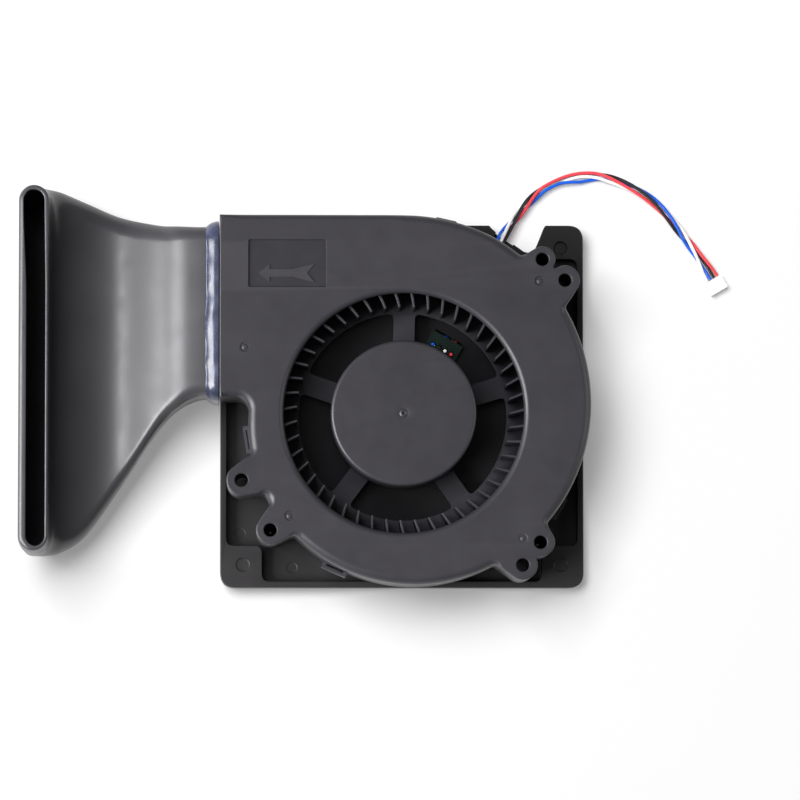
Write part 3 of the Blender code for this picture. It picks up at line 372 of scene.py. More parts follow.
def circuit_laminate():
    """Green solder resist over copper tracks, with the weave of the glass cloth, darkened to a painted shade as
    the board lies in shadow.
    """
    paint = Paint("circuit_laminate", 0.35, ior=1.5, coat=0.2)
    # Painted shade: the track, gap and weave colours are all darkened for the board's shadow.
    tracks = paint.node("ShaderNodeTexBrick", {
        "Scale": 260, "Mortar Size": 0.03, "Color1": (0.004, 0.009, 0.008),
        "Color2": (0.005, 0.011, 0.009), "Mortar": (0.008, 0.019, 0.015),
        "Vector": paint.place})
    weave = paint.noise(1500, 2)
    paint.colour(paint.mix(paint.spread(weave, 0.0, 0.3), tracks.outputs["Color"],
                           (0.003, 0.007, 0.006)))
    paint.roughness(paint.spread(paint.noise(300, 4), 0.28, 0.42))
    paint.bump(weave, 0.04 * MM, 0.4)
    return paint.material


GREY = (0.0240, 0.0228, 0.0272)
LABEL_PANEL = ((LABEL_CENTRE.x - LABEL_SIZE.x / 2, LABEL_CENTRE.y - LABEL_SIZE.y / 2,
                FRONT_HIGH.z - 2 * LABEL_DEPTH),
               (LABEL_CENTRE.x + LABEL_SIZE.x / 2, LABEL_CENTRE.y + LABEL_SIZE.y / 2,
                FRONT_HIGH.z - 0.7 * LABEL_DEPTH), 0.72)
# Painted shade: the housing's floor behind the impeller's windows is darkened, as it lies in shadow there.
PAINTED_SHADE_FLOOR = ((AXIS.x - RING_OUTER, AXIS.y - RING_OUTER, BACK_LOW.z + MM),
               (AXIS.x + RING_OUTER, AXIS.y + RING_OUTER, RING_Z[0]), 0.3)
MATERIALS = {
    "housing_plastic": moulded_plastic("housing_plastic", GREY, 0.42, 0.45,
                                       darker=[LABEL_PANEL, PAINTED_SHADE_FLOOR]),
    "fan_plastic": moulded_plastic("fan_plastic", GREY, 0.40, 0.35),
    "tray_plastic": moulded_plastic("tray_plastic", (0.0150, 0.0140, 0.0150), 0.46, 0.5),
    "duct_plastic": moulded_plastic("duct_plastic", (0.0420, 0.0405, 0.0451), 0.34, 0.2, 1.56,
                                    wear=0.1),
    "sealant": cured_sealant(),
    "steel": metal("steel", (0.60, 0.60, 0.61), 0.3, (1.0, 1.0, 12.0)),
    "brass": metal("brass", (0.75, 0.53, 0.24), 0.28, (1.0, 1.0, 10.0)),
    "ferrite": moulded_plastic("ferrite", (0.03, 0.03, 0.032), 0.55, 0.8),
    "copper": copper_winding(),
    "nylon": moulded_plastic("nylon", (0.80, 0.80, 0.78), 0.42, 0.3, wear=0.05),
    "fibreglass": circuit_laminate(),
    "black_epoxy": moulded_plastic("black_epoxy", (0.018, 0.018, 0.018), 0.5, 0.7),
    "capacitor_can": moulded_plastic("capacitor_can", (0.30, 0.17, 0.07), 0.35, 0.4),
    "tin": metal("tin", (0.72, 0.72, 0.69), 0.34, (6.0, 1.0, 1.0)),
    "solder": metal("solder", (0.62, 0.62, 0.63), 0.22, scale=500),
    "red_insulation": wire_insulation("red_insulation", (0.72, 0.055, 0.07)),
    "black_insulation": wire_insulation("black_insulation", (0.016, 0.016, 0.018)),
    "blue_insulation": wire_insulation("blue_insulation", (0.008, 0.10, 0.60)),
    "white_insulation": wire_insulation("white_insulation", (0.78, 0.78, 0.77)),
}
# The finish of each piece that keeps its CAD shape
CAD_FINISHES = {row["node"]: row["material_slot"] for row in frame["record"]["subparts"]}


# ---------------------------------------------------------------- mesh helpers

def new_object(name, data):
    made = bpy.data.objects.new(name, data)
    bpy.context.scene.collection.objects.link(made)
    return made


def evaluated_mesh(piece):
    """A new mesh of an object with its modifiers or fills applied."""
    bpy.context.view_layer.update()
    return bpy.data.meshes.new_from_object(
        piece.evaluated_get(bpy.context.evaluated_depsgraph_get()))


def add_piece(name, data, material, body, replaces=()):
    piece = new_object(name, data)
    data.materials.clear()
    data.materials.append(MATERIALS[material])
    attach(piece, body)
    if replaces:
        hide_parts(*replaces)
    return piece


def close_mesh(build, name):
    """Weld the loose rows and fills of a mesh into one skin that faces outward."""
    bmesh.ops.remove_doubles(build, verts=build.verts, dist=1e-6)
    bmesh.ops.recalc_face_normals(build, faces=build.faces)
    mesh = bpy.data.meshes.new(name)
    build.to_mesh(mesh)
    build.free()
    return mesh


def smooth(piece, angle=38):
    """Shade a piece smooth but keep its sharp edges and the flatness of its flat faces."""
    piece.data.shade_smooth()
    piece.data.set_sharp_from_angle(angle=math.radians(angle))
    weigh = piece.modifiers.new("flat faces stay flat", "WEIGHTED_NORMAL")
    weigh.keep_sharp = True
    return piece


def housing_piece(node, mesh, slot, angle=38):
    """The visible piece that stands for one node of the housing body."""
    return smooth(add_piece(node + "_visual", mesh, slot, "housing", [node]), angle)


def add_rows(build, loops):
    """Join neighbouring loops of points with four-sided faces."""
    rows = [[build.verts.new(point) for point in loop] for loop in loops]
    for first, second in zip(rows, rows[1:]):
        count = len(first)
        for i in range(count):
            j = (i + 1) % count
            build.faces.new((first[i], first[j], second[j], second[i]))
    return rows


def add_fill(build, loops, height):
    """Fill flat outlines, with any holes, at one height."""
    curve = bpy.data.curves.new("fill", "CURVE")
    curve.dimensions = "2D"
    curve.fill_mode = "BOTH"
    for loop in loops:
        spline = curve.splines.new("POLY")
        spline.points.add(len(loop) - 1)
        for point, place in zip(spline.points, loop):
            point.co = (place[0], place[1], 0.0, 1.0)
        spline.use_cyclic_u = True
    guide = new_object("fill", curve)
    mesh = evaluated_mesh(guide)
    verts = [build.verts.new((v.co.x, v.co.y, height)) for v in mesh.vertices]
    for polygon in mesh.polygons:
        build.faces.new([verts[i] for i in polygon.vertices])
    bpy.data.objects.remove(guide)
    bpy.data.meshes.remove(mesh)


def lift(loop, height):
    return [(point[0], point[1], height) for point in loop]


def circle(radius, count, centre):
    return [(centre[0] + radius * math.cos(2 * math.pi * i / count),
             centre[1] + radius * math.sin(2 * math.pi * i / count)) for i in range(count)]


def polar(radius, angle):
    return AXIS.x + radius * math.cos(angle), AXIS.y + radius * math.sin(angle)


def normals_2d(loop):
    """Unit normal at each point of a closed loop, to the left of its travel."""
    found = []
    for before, after in zip([loop[-1]] + loop[:-1], loop[1:] + [loop[0]]):
        ahead = Vector((after[0] - before[0], after[1] - before[1])).normalized()
        found.append(Vector((-ahead.y, ahead.x)))
    return found


def for_each(value, loop):
    """A list with one value a point, from such a list or from a single value."""
    return value if isinstance(value, list) else [value] * len(loop)


def ease(value, low, high):
    """Rise smoothly from 0 at low to 1 at high."""
    share = min(max((value - low) / (high - low), 0.0), 1.0)
    return share * share * (3 - 2 * share)


def directions(angle):
    """Unit vectors along a direction and to its left."""
    along = Vector((math.cos(angle), math.sin(angle)))
    return along, Vector((-along.y, along.x))


def slab(origin, along, aside, u, v):
    """Corners of a rectangle that spans u along one direction and v along the other."""
    return [tuple(origin + along * a + aside * b)
            for a, b in ((u[0], v[0]), (u[1], v[0]), (u[1], v[1]), (u[0], v[1]))]


def inset(loop, normals, distances):
    distances = for_each(distances, loop)
    return [(p[0] - n.x * d, p[1] - n.y * d) for p, n, d in zip(loop, normals, distances)]


def rounded_rows(loop, normals, radii, top, steps=6, down=True):
    """Rows of a rounded edge, from the flat face's border out to the wall."""
    radii = for_each(radii, loop)
    rows = []
    for i in range(steps + 1):
        angle = math.pi / 2 * (1 - i / steps)
        drop = [r * (1 - math.sin(angle)) for r in radii]
        border = inset(loop, normals, [r * (1 - math.cos(angle)) for r in radii])
        sign = -1 if down else 1
        rows.append([(x, y, top + sign * d) for (x, y), d in zip(border, drop)])
    return rows


def along_line(start, stop, step):
    start, stop = Vector(start), Vector(stop)
    count = max(1, round((stop - start).length / step))
    return [tuple(start.lerp(stop, i / count)) for i in range(count)]


def distances_along(points):
    travelled = [0.0]
    for first, second in zip(points, points[1:]):
        travelled.append(travelled[-1] + (second - first).length)
    return travelled


def read_line(points, count, parts):
    """The first count of the points that part an open line into equal lengths."""
    travelled = distances_along(points)
    found, segment = [], 0
    for i in range(count):
        target = travelled[-1] * i / parts
        while segment < len(points) - 2 and travelled[segment + 1] < target:
            segment += 1
        share = (target - travelled[segment]) / (travelled[segment + 1] - travelled[segment])
        found.append(points[segment].lerp(points[segment + 1], share))
    return found


def even_points(points, step):
    """Walk an open line and read a point every step."""
    points = [Vector(point) for point in points]
    count = max(2, round(distances_along(points)[-1] / step))
    return [tuple(point) for point in read_line(points, count, count)]


def catmull_rom(a, b, c, d, t):
    """The smooth curve between the second and third of four neighbours."""
    return 0.5 * (2 * b + (c - a) * t + (2 * a - 5 * b + 4 * c - d) * t * t
                  + (3 * b - a - 3 * c + d) * t ** 3)


def smooth_line(points, count=8):
    """A smooth curve through a few points, read at count points a span."""
    knots = [Vector(p) for p in points]
    ends = [2 * knots[0] - knots[1]] + knots + [2 * knots[-1] - knots[-2]]
    found = [tuple(catmull_rom(*span, i / count))
             for span in zip(ends, ends[1:], ends[2:], ends[3:]) for i in range(count)]
    return found + [tuple(knots[-1])]


def rounded_rectangle(x0, x1, y0, y1, radius, steps=6):
    points = []
    for quarter, (x, y) in enumerate(((x1, y1), (x0, y1), (x0, y0), (x1, y0))):
        cx = x - radius if quarter in (0, 3) else x + radius
        cy = y - radius if quarter in (0, 1) else y + radius
        for i in range(steps + 1):
            angle = math.pi / 2 * (quarter + i / steps)
            points.append((cx + radius * math.cos(angle), cy + radius * math.sin(angle)))
    return points


def round_corners(outline, radius, steps=5):
    """Replace each corner of an outline by an arc: radius may be one value or one a corner."""
    count = len(outline)
    radii = radius if isinstance(radius, (list, tuple)) else [radius] * count
    points = []
    for i, r in enumerate(radii):
        a, b, c = (Vector(outline[(i + k) % count]) for k in (-1, 0, 1))
        u, v = (a - b), (c - b)
        reach = min(r, 0.45 * u.length, 0.45 * v.length)
        if reach <= 0:
            points.append(tuple(b))
            continue
        start, stop = b + u.normalized() * reach, b + v.normalized() * reach
        for k in range(steps + 1):
            t = k / steps
            points.append(tuple((1 - t) ** 2 * start + 2 * t * (1 - t) * b + t * t * stop))
    return points


def turned(profile, count, centre=None):
    """Closed skin of a profile of (radius, height) turned about a vertical line."""
    centre = AXIS if centre is None else centre
    build = bmesh.new()
    rows = []
    for radius, height in profile:
        if radius == 0:
            rows.append([build.verts.new((centre[0], centre[1], height))])
        else:
            rows.append([build.verts.new((x, y, height)) for x, y in circle(radius, count, centre)])
    pairs = list(zip(rows, rows[1:]))
    if profile[0][0] > 0:
        pairs.append((rows[-1], rows[0]))
    for first, second in pairs:
        for i in range(count):
            j = (i + 1) % count
            corners = [first[i % len(first)], first[j % len(first)],
                       second[j % len(second)], second[i % len(second)]]
            unique = list(dict.fromkeys(corners))
            if len(unique) > 2:
                build.faces.new(unique)
    return build


def prism(loops, low, high):
    """Flat outlines, with any holes, between two heights."""
    build = bmesh.new()
    for loop in loops:
        add_rows(build, [lift(loop, high), lift(loop, low)])
    add_fill(build, loops, high)
    add_fill(build, loops, low)
    return build


def cut(build):
    return "DIFFERENCE", new_object("tool", close_mesh(build, "tool"))


def join(build):
    return "UNION", new_object("tool", close_mesh(build, "tool"))


def boolean(mesh, steps):
    """Cut or join tools to a mesh one after the other, and return the new mesh."""
    base = new_object("base", mesh)
    for operation, cutter in steps:
        modifier = base.modifiers.new(operation, "BOOLEAN")
        modifier.object = cutter
        modifier.operation = operation
        modifier.solver = "EXACT"
    result = evaluated_mesh(base)
    for item in [base] + [cutter for _, cutter in steps]:
        bpy.data.objects.remove(item)
    return result


# ---------------------------------------------------------------- housing

def spiral_radius(angle):
    growth = SPIRAL_GROWTH * (angle - SPIRAL_START) / SPIRAL_SPAN
    return min(SPIRAL_RADIUS + growth, SPIRAL_LIMIT)


def smooth_maximum(first, second, blend):
    overlap = max(blend - abs(first - second), 0.0) / blend
    return max(first, second) + overlap * overlap * blend / 4


def ear_reach(angle, ear):
    """How far an ear's rounded end reaches from the rotor's axis along one direction."""
    offset = Vector((ear[0], ear[1])) - AXIS
    distance = offset.length
    turn = (angle - math.atan2(offset.y, offset.x) + math.pi) % (2 * math.pi) - math.pi
    if abs(turn) > math.radians(30):
        return 0.0
    aside = distance * math.tan(abs(turn))
    knee = 0.92 * ear[2]
    height = math.sqrt(ear[2] ** 2 - min(aside, knee) ** 2)
    return distance + height - EAR_FLANK_SLOPE * max(aside - knee, 0.0)


def outline_radius(angle):
    radius = spiral_radius(angle)
    for ear in EARS.values():
        radius = smooth_maximum(radius, ear_reach(angle, ear), EAR_BLEND)
    return radius


def housing_outline():
    """Outer outline of both shells and the size of the shoulder at each of its points."""
    fine = [math.radians(90 - 0.15 * i) for i in range(1801)]
    spiral = even_points([polar(outline_radius(a), a) for a in fine], OUTLINE_STEP)
    shoulders = []
    for x, y in spiral:
        angle = math.atan2(y - AXIS.y, x - AXIS.x)
        reach = (Vector((x, y)) - AXIS).length
        proud = reach - spiral_radius(angle)
        shoulders.append(SHOULDER + (EAR_EDGE - SHOULDER) * ease(proud, 0.1 * MM, 0.8 * MM))
    centre = (-SPIRAL_RADIUS - CUTOFF_FILLET, OUTLET_LOW_Y - CUTOFF_FILLET)
    bend = [(centre[0] + CUTOFF_FILLET * math.cos(math.pi / 2 * i / 12),
             centre[1] + CUTOFF_FILLET * math.sin(math.pi / 2 * i / 12)) for i in range(13)]
    lower = along_line((bend[-1][0] - OUTLINE_STEP, OUTLET_LOW_Y), (OUTLET_X, OUTLET_LOW_Y),
                       OUTLINE_STEP)
    top_y = AXIS.y + SPIRAL_LIMIT
    mouth = along_line((OUTLET_X, OUTLET_LOW_Y), (OUTLET_X, top_y), 2 * MM)
    top = along_line((OUTLET_X, top_y), (AXIS.x, top_y), 2 * MM)
    points = spiral + bend + lower + mouth + top
    for x, y in bend + lower:
        shoulders.append(EAR_EDGE + (SHOULDER - EAR_EDGE) * ease(x - OUTLET_X, 0.0, 2.5 * MM))
    shoulders += [EAR_EDGE] * len(mouth)
    for x, _ in top:
        shoulders.append(EAR_EDGE + (0.7 * SHOULDER - EAR_EDGE) * ease(x - OUTLET_X, 0.0, 5 * MM))
    return points, soften(shoulders, 2)


def soften(values, reach):
    count = len(values)
    return [sum(values[(i + k) % count] for k in range(-reach, reach + 1)) / (2 * reach + 1)
            for i in range(count)]


def cavity_outline():
    """Air passage inside the walls, running out through the open outlet."""
    beyond = OUTLET_X - MM
    points = along_line((beyond, AXIS.y + SPIRAL_LIMIT - WALL),
                        polar(SPIRAL_LIMIT - WALL, math.radians(90)), 3 * MM)
    points += [polar(spiral_radius(math.radians(90 - 1.5 * i)) - WALL, math.radians(90 - 1.5 * i))
               for i in range(181)]
    points += [(WALL - SPIRAL_RADIUS, OUTLET_LOW_Y + 0.6 * MM),
               (WALL - SPIRAL_RADIUS - 1.2 * MM, OUTLET_LOW_Y + WALL),
               (beyond, OUTLET_LOW_Y + WALL)]
    return points


def cavity_cut(round_end, flat_end, round_is_top):
    """Cut the hollow of one shell, with its inside corners rounded at one end."""
    outline = cavity_outline()
    rows = rounded_rows(outline, normals_2d(outline), 0.8 * MM, round_end, 4, round_is_top)
    rows.append(lift(outline, flat_end))
    build = bmesh.new()
    add_rows(build, rows)
    add_fill(build, [rows[0]], round_end)
    add_fill(build, [outline], flat_end)
    return cut(build)


def floored(build, rows):
    """A round recess with a flat floor; returns its border."""
    add_rows(build, rows)
    add_fill(build, [rows[-1]], rows[-1][0][2])
    return rows[0]


def ear_hole_rows(build, high, low, round_top, round_bottom):
    """Screw holes through the ears; returns the borders that they leave in both flat faces."""
    tops, bottoms = [], []
    for x, y, _ in EARS.values():
        wide = circle(EAR_HOLE_RADIUS + round_top, 32, (x, y))
        wall = circle(EAR_HOLE_RADIUS, 32, (x, y))
        base = circle(EAR_HOLE_RADIUS + round_bottom, 32, (x, y))
        add_rows(build, [lift(wide, high), lift(wall, high - round_top),
                         lift(wall, low + round_bottom), lift(base, low)])
        tops.append(wide)
        bottoms.append(base)
    return tops, bottoms


def pin_rows(build, centre, depth, top):
    """A domed ejector mark in a round recess; returns the recess's border."""
    place = (centre[0] * MM, centre[1] * MM)
    border, floor, foot = 1.65 * MM, 1.5 * MM, 0.95 * MM
    profile = [(border, 0.0), (floor, -depth * MM), (foot, -depth * MM)]
    profile += [(foot * math.cos(math.radians(a)), (-depth + 0.32 * math.sin(math.radians(a))) * MM)
                for a in (20, 40, 60, 78)]
    return floored(build, [lift(circle(radius, 20, place), top + height)
                           for radius, height in profile])


def arrow_outline():
    """A plain arrow that points towards the outlet, its tail flared."""
    middle = LABEL_CENTRE + Vector((-0.2, -3.2)) * MM
    tip, barb, tail = -9.2 * MM, -5.6 * MM, 9.0 * MM
    half_head, half_shaft, half_tail = 2.9 * MM, 1.3 * MM, 3.0 * MM
    shape = [(tip, 0.0), (barb, -half_head), (barb, -half_shaft), (2 * MM, -half_shaft),
             (tail, -half_tail), (tail - 2.4 * MM, 0.0), (tail, half_tail), (2 * MM, half_shaft),
             (barb, half_shaft), (barb, half_head)]
    return [(middle.x + x, middle.y + y) for x, y in round_corners(shape, 0.35 * MM, 3)]


def label_rows(build, top):
    """The label recess with its raised arrow; returns the recess's border."""
    half = LABEL_SIZE / 2
    edge = 0.18 * MM

    def frame_at(grow):
        return rounded_rectangle(LABEL_CENTRE.x - half.x - grow, LABEL_CENTRE.x + half.x + grow,
                                 LABEL_CENTRE.y - half.y - grow, LABEL_CENTRE.y + half.y + grow,
                                 0.5 * MM + grow, 4)
    floor = top - LABEL_DEPTH
    border = frame_at(edge)
    foot = frame_at(-0.05 * MM)
    add_rows(build, [lift(border, top), lift(frame_at(0.0), top - edge), lift(foot, floor)])
    arrow = arrow_outline()
    raised = floor + 0.3 * MM
    add_rows(build, [lift(arrow, floor), lift(arrow, raised)])
    add_fill(build, [foot, arrow], floor)
    add_fill(build, [arrow], raised)
    return border


def snap_loop(direction, width, reach, low, high):
    """A loop that springs over a catch: two legs and a cross bar standing off the wall."""
    angle = math.radians(direction)
    wall = spiral_radius(angle) - 0.4 * MM
    half, leg, bar = width / 2 * MM, 1.3 * MM, 0.8 * MM
    tip = wall + 0.4 * MM + reach * MM
    loop = slab(AXIS, *directions(angle), (wall, tip), (-half, half))
    window = slab(AXIS, *directions(angle), (wall + 0.7 * MM, tip - bar),
                  (-half + leg, half - leg))
    return prism([round_corners(loop, [0, 0.5 * MM, 0.5 * MM, 0], 4), window], low, high)


def make_front_shell():
    outline, shoulders = housing_outline()
    normals = normals_2d(outline)
    top, low = FRONT_HIGH.z, FRONT_LOW.z
    build = bmesh.new()
    rows = rounded_rows(outline, normals, shoulders, top, 8)
    lip = 0.15 * MM
    rows.append(lift(outline, low + lip))
    foot = inset(outline, normals, lip)
    rows.append(lift(foot, low))
    add_rows(build, rows)
    holes, hole_feet = ear_hole_rows(build, top, low, 0.25 * MM, 0.1 * MM)
    inlet = []
    for i in range(9):
        angle = math.pi / 2 * i / 8
        radius = INLET_RADIUS + INLET_LIP * (1 - math.sin(angle))
        inlet.append(lift(circle(radius, INLET_SIDES, AXIS),
                          top - INLET_LIP * (1 - math.cos(angle))))
    throat = circle(INLET_RADIUS, INLET_SIDES, AXIS)
    inlet.append(lift(throat, low))
    add_rows(build, inlet)
    marks = [pin_rows(build, centre, depth, top) for centre, depth in PINS]
    label = label_rows(build, top)
    add_fill(build, [rows[0], inlet[0], label] + holes + marks, top)
    add_fill(build, [foot, throat] + hole_feet, low)
    mesh = boolean(close_mesh(build, "front_shell"), [cavity_cut(top - SKIN, low - MM, True)])
    loops = bmesh.new()
    loops.from_mesh(mesh)
    for direction, width, reach in CLIPS:
        part = snap_loop(direction, width, reach, low - 6 * MM, low + 3.5 * MM)
        bmesh.ops.recalc_face_normals(part, faces=part.faces)
        extra = bpy.data.meshes.new("snap")
        part.to_mesh(extra)
        part.free()
        loops.from_mesh(extra)
        bpy.data.meshes.remove(extra)
    loops.to_mesh(mesh)
    loops.free()
    return housing_piece("front_shell", mesh, "housing_plastic")


def make_back_shell():
    outline, _ = housing_outline()
    normals = normals_2d(outline)
    top, low = BACK_HIGH.z, BACK_LOW.z
    build = bmesh.new()
    lip, heel = 0.15 * MM, 0.8 * MM
    rim = inset(outline, normals, lip)
    base = rounded_rows(outline, normals, heel, low, 5, down=False)
    add_rows(build, [lift(rim, top), lift(outline, top - lip)] + base[::-1])
    holes, hole_feet = ear_hole_rows(build, top, low, 0.1 * MM, 0.25 * MM)
    add_fill(build, [rim] + holes, top)
    add_fill(build, [base[0]] + hole_feet, low)
    boss_radius, boss_top, bore = 8.9 * MM, 14.9 * MM, 6.9 * MM
    boss = join(turned([(boss_radius - 0.4 * MM, boss_top), (boss_radius, boss_top - 0.4 * MM),
                        (boss_radius, low + MM), (0.0, low + MM), (0.0, boss_top)][::-1], 64))
    bearing_bore = cut(prism([circle(bore, 64, AXIS)], low - MM, boss_top + 3 * MM))
    catches = []
    for direction, width, reach in CLIPS:
        angle = math.radians(direction)
        wall, half = spiral_radius(angle), (width / 2 - 1.6) * MM
        corners = slab(AXIS, *directions(angle), (wall - MM, wall + 0.5 * MM), (-half, half))
        catches.append(join(prism([corners], top - 4.5 * MM, top - 1.5 * MM)))
    reach, half_long, half_wide = 27.6 * MM, 3.5 * MM, 5.1 * MM
    corners = slab(AXIS, *directions(math.radians(60)), (reach - half_long, reach + half_long),
                   (-half_wide, half_wide))
    lead_slot = cut(prism([round_corners(corners, 0.8 * MM, 4)], low - MM, low + 3 * MM))
    hollow = cavity_cut(low + SKIN, top + MM, False)
    mesh = boolean(close_mesh(build, "back_shell"),
                   [hollow] + catches + [boss, bearing_bore, lead_slot])
    return housing_piece("back_shell", mesh, "housing_plastic")


# ---------------------------------------------------------------- tray

def tray_outline():
    """The square tray with rounded corners and the cable notch in its upper edge."""
    half = TRAY_HIGH.x
    notch = even_points([(x * MM, y * MM) for x, y in smooth_line(NOTCH)], 0.8 * MM)
    notch = [p for p in notch if p[1] < half - 0.4 * MM]
    corners = [(half, half), (half, -half), (-half, -half), (-half, half)]
    line = [(notch[0][0] - 0.5 * MM, half)] + notch + [(notch[-1][0] + 0.5 * MM, half)]
    rounding = [0.5 * MM] + [0.0] * len(notch) + [0.5 * MM] + [TRAY_CORNER] * len(corners)
    return round_corners(line + corners, rounding, 8)


def recess_outline():
    """The hollow inside the rim: square pads fill the corners, a ledge the notched one."""
    inner = TRAY_HIGH.x - TRAY_RIM
    pad = inner - TRAY_PAD
    ledge = 48.8 * MM
    outline = [(-pad, inner), (26.6 * MM, inner), (36.6 * MM, ledge + 2 * MM), (39.5 * MM, ledge),
               (inner, ledge), (inner, -pad), (pad, -pad), (pad, -inner),
               (-pad, -inner), (-pad, -pad), (-inner, -pad), (-inner, pad), (-pad, pad)]
    outer_round, pad_round = 2.4 * MM, 2.6 * MM
    radii = [outer_round, outer_round, MM, MM, outer_round, outer_round, pad_round, outer_round,
             outer_round, pad_round, outer_round, outer_round, pad_round]
    return round_corners(outline, radii, 6)


def dimple(build, centre, radius, depth, top):
    """A shallow round sink mark; returns its border."""
    return floored(build, [lift(circle(radius * share, 32, centre), top - depth * fall)
                           for share, fall in ((1.0, 0.0), (0.94, 0.75), (0.86, 1.0))])


def make_tray():
    top, floor = TRAY_HIGH.z, TRAY_FLOOR
    outline = tray_outline()
    normals = normals_2d(outline)
    recess = recess_outline()
    recess_normals = normals_2d(recess)
    build = bmesh.new()
    rows = rounded_rows(outline, normals, TRAY_EDGE, top, 4)
    base = rounded_rows(outline, normals, TRAY_EDGE, 0.0, 3, down=False)
    add_rows(build, rows + base[::-1])
    grow = [inset(recess, recess_normals, TRAY_EDGE * (math.cos(a) - 1))
            for a in (math.pi / 2, math.pi / 4, 0.0)]
    heights = [top - TRAY_EDGE * (1 - math.cos(a)) for a in (0.0, math.pi / 4, math.pi / 2)]
    wall = [lift(loop, z) for loop, z in zip(grow, heights)]
    toe = 0.6 * MM
    wall.append(lift(recess, floor + toe))
    wall.append(lift(inset(recess, recess_normals, 0.3 * toe), floor + 0.3 * toe))
    wall.append(lift(inset(recess, recess_normals, toe), floor))
    add_rows(build, wall)
    reach = MOUNT_PITCH / 2
    sinks = [dimple(build, (sx * reach, sy * reach), 2.35 * MM, 0.35 * MM, top)
             for sx, sy in ((-1, 1), (-1, -1), (1, -1))]
    sinks.append(dimple(build, (reach, reach), 2.35 * MM, 1.6 * MM, top))
    ejectors = [(-36.3, -53.3), (-53.4, -41.9), (-53.4, 41.0), (36.4, -55.6), (55.0, -20.0)]
    marks = [dimple(build, (x * MM, y * MM), 1.85 * MM, 0.12 * MM, floor) for x, y in ejectors]
    add_fill(build, [rows[0], wall[0]] + sinks, top)
    add_fill(build, [wall[-1]] + marks, floor)
    add_fill(build, [base[0]], 0.0)
    mesh = close_mesh(build, "mounting_tray")
    steps = []
    for name in SCREWED_EARS:
        x, y, _ = EARS[name]
        post = [(0.0, top), (3.9 * MM, top), (4.2 * MM, top - 0.3 * MM), (4.2 * MM, floor - MM),
                (0.0, floor - MM)]
        steps.append(join(turned(post, 40, (x, y))))
    gate = Vector((34.0, 55.6)) * MM
    turn = Matrix.Rotation(math.radians(-30), 2)
    corners = [tuple(gate + turn @ Vector((u, v)) * MM)
               for u, v in ((-3.5, -4.5), (3.5, -4.5), (3.5, 4.5), (-3.5, 4.5))]
    steps.append(cut(prism([corners], floor, top + 3 * MM)))
    for name in SCREWED_EARS:
        x, y, _ = EARS[name]
        sink = [(0.0, 2 * MM), (4.0 * MM, 2 * MM), (4.0 * MM, -MM), (0.0, -MM)]
        bore = [(0.0, top + MM), (2.2 * MM, top + MM), (2.2 * MM, -MM), (0.0, -MM)]
        steps += [cut(turned(sink, 40, (x, y))), cut(turned(bore, 32, (x, y)))]
    for sx, sy in ((1, 1), (-1, 1), (-1, -1), (1, -1)):
        bore = [(0.0, 5.5 * MM), (2.15 * MM, 5.5 * MM), (2.15 * MM, 0.4 * MM), (2.5 * MM, -MM),
                (0.0, -MM)]
        steps.append(cut(turned(bore, 32, (sx * reach, sy * reach))))
    return housing_piece("mounting_tray", boolean(mesh, steps), "tray_plastic")


# ---------------------------------------------------------------- duct and sealant

def station_value(share, column):
    """Read one column of the station table from a smooth curve through its rows."""
    last = len(DUCT_STATIONS) - 1
    place = min(max(share, 0.0), 1.0) * last
    index = min(int(place), last - 1)
    t = place - index
    a, b, c, d = (DUCT_STATIONS[min(max(index + k, 0), last)][column] for k in (-1, 0, 1, 2))
    return catmull_rom(a, b, c, d, t) * MM


def duct_section(share, grow):
    """One ring of the duct, grown outward: a rounded oblong standing across the airflow."""
    top = Vector((station_value(share, 0), 0.0, station_value(share, 1)))
    bottom = Vector((station_value(share, 2), 0.0, station_value(share, 3)))
    far, near, corner = (station_value(share, column) for column in (4, 5, 6))
    across = top - bottom
    half_v = across.length / 2 + grow
    across.normalize()
    half_u = (far - near) / 2 + grow
    centre = (top + bottom) / 2 + Vector((0.0, (far + near) / 2, 0.0))
    radius = max(min(corner + grow, half_v - 0.01 * MM), 0.4 * MM)
    points = []
    for quarter in range(4):
        su = 1 if quarter in (0, 3) else -1
        sv = 1 if quarter in (0, 1) else -1
        cu, cv = su * (half_u - radius), sv * (half_v - radius)
        for i in range(DUCT_ARC):
            angle = math.pi / 2 * (quarter + i / (DUCT_ARC - 1))
            points.append((cu + radius * math.cos(angle), cv + radius * math.sin(angle)))
        after = (quarter + 1) % 4
        angle = math.pi / 2 * (quarter + 1)
        cu = (1 if after in (0, 3) else -1) * (half_u - radius)
        cv = (1 if after in (0, 1) else -1) * (half_v - radius)
        start = Vector(points[-1])
        stop = Vector((cu + radius * math.cos(angle), cv + radius * math.sin(angle)))
        flat = DUCT_FLATS[quarter % 2]
        points += [tuple(start.lerp(stop, (i + 1) / (flat + 1))) for i in range(flat)]
    return [centre + Vector((0.0, 1.0, 0.0)) * u + across * v for u, v in points]


def lean_of_slot(point):
    """How far the slot's inner wall stands in from its nominal place, growing down the slot."""
    below = ease(DUCT_HIGH.y - point.y, 2 * MM, 38 * MM)
    near_rim = ease(point.z, DUCT_HIGH.z - 12 * MM, DUCT_HIGH.z - MM)
    outer_side = point.x < DUCT_STATIONS[-1][0] * MM - 5 * MM
    return (SLOT_LEAN[0] if outer_side else SLOT_LEAN[1]) * below * near_rim


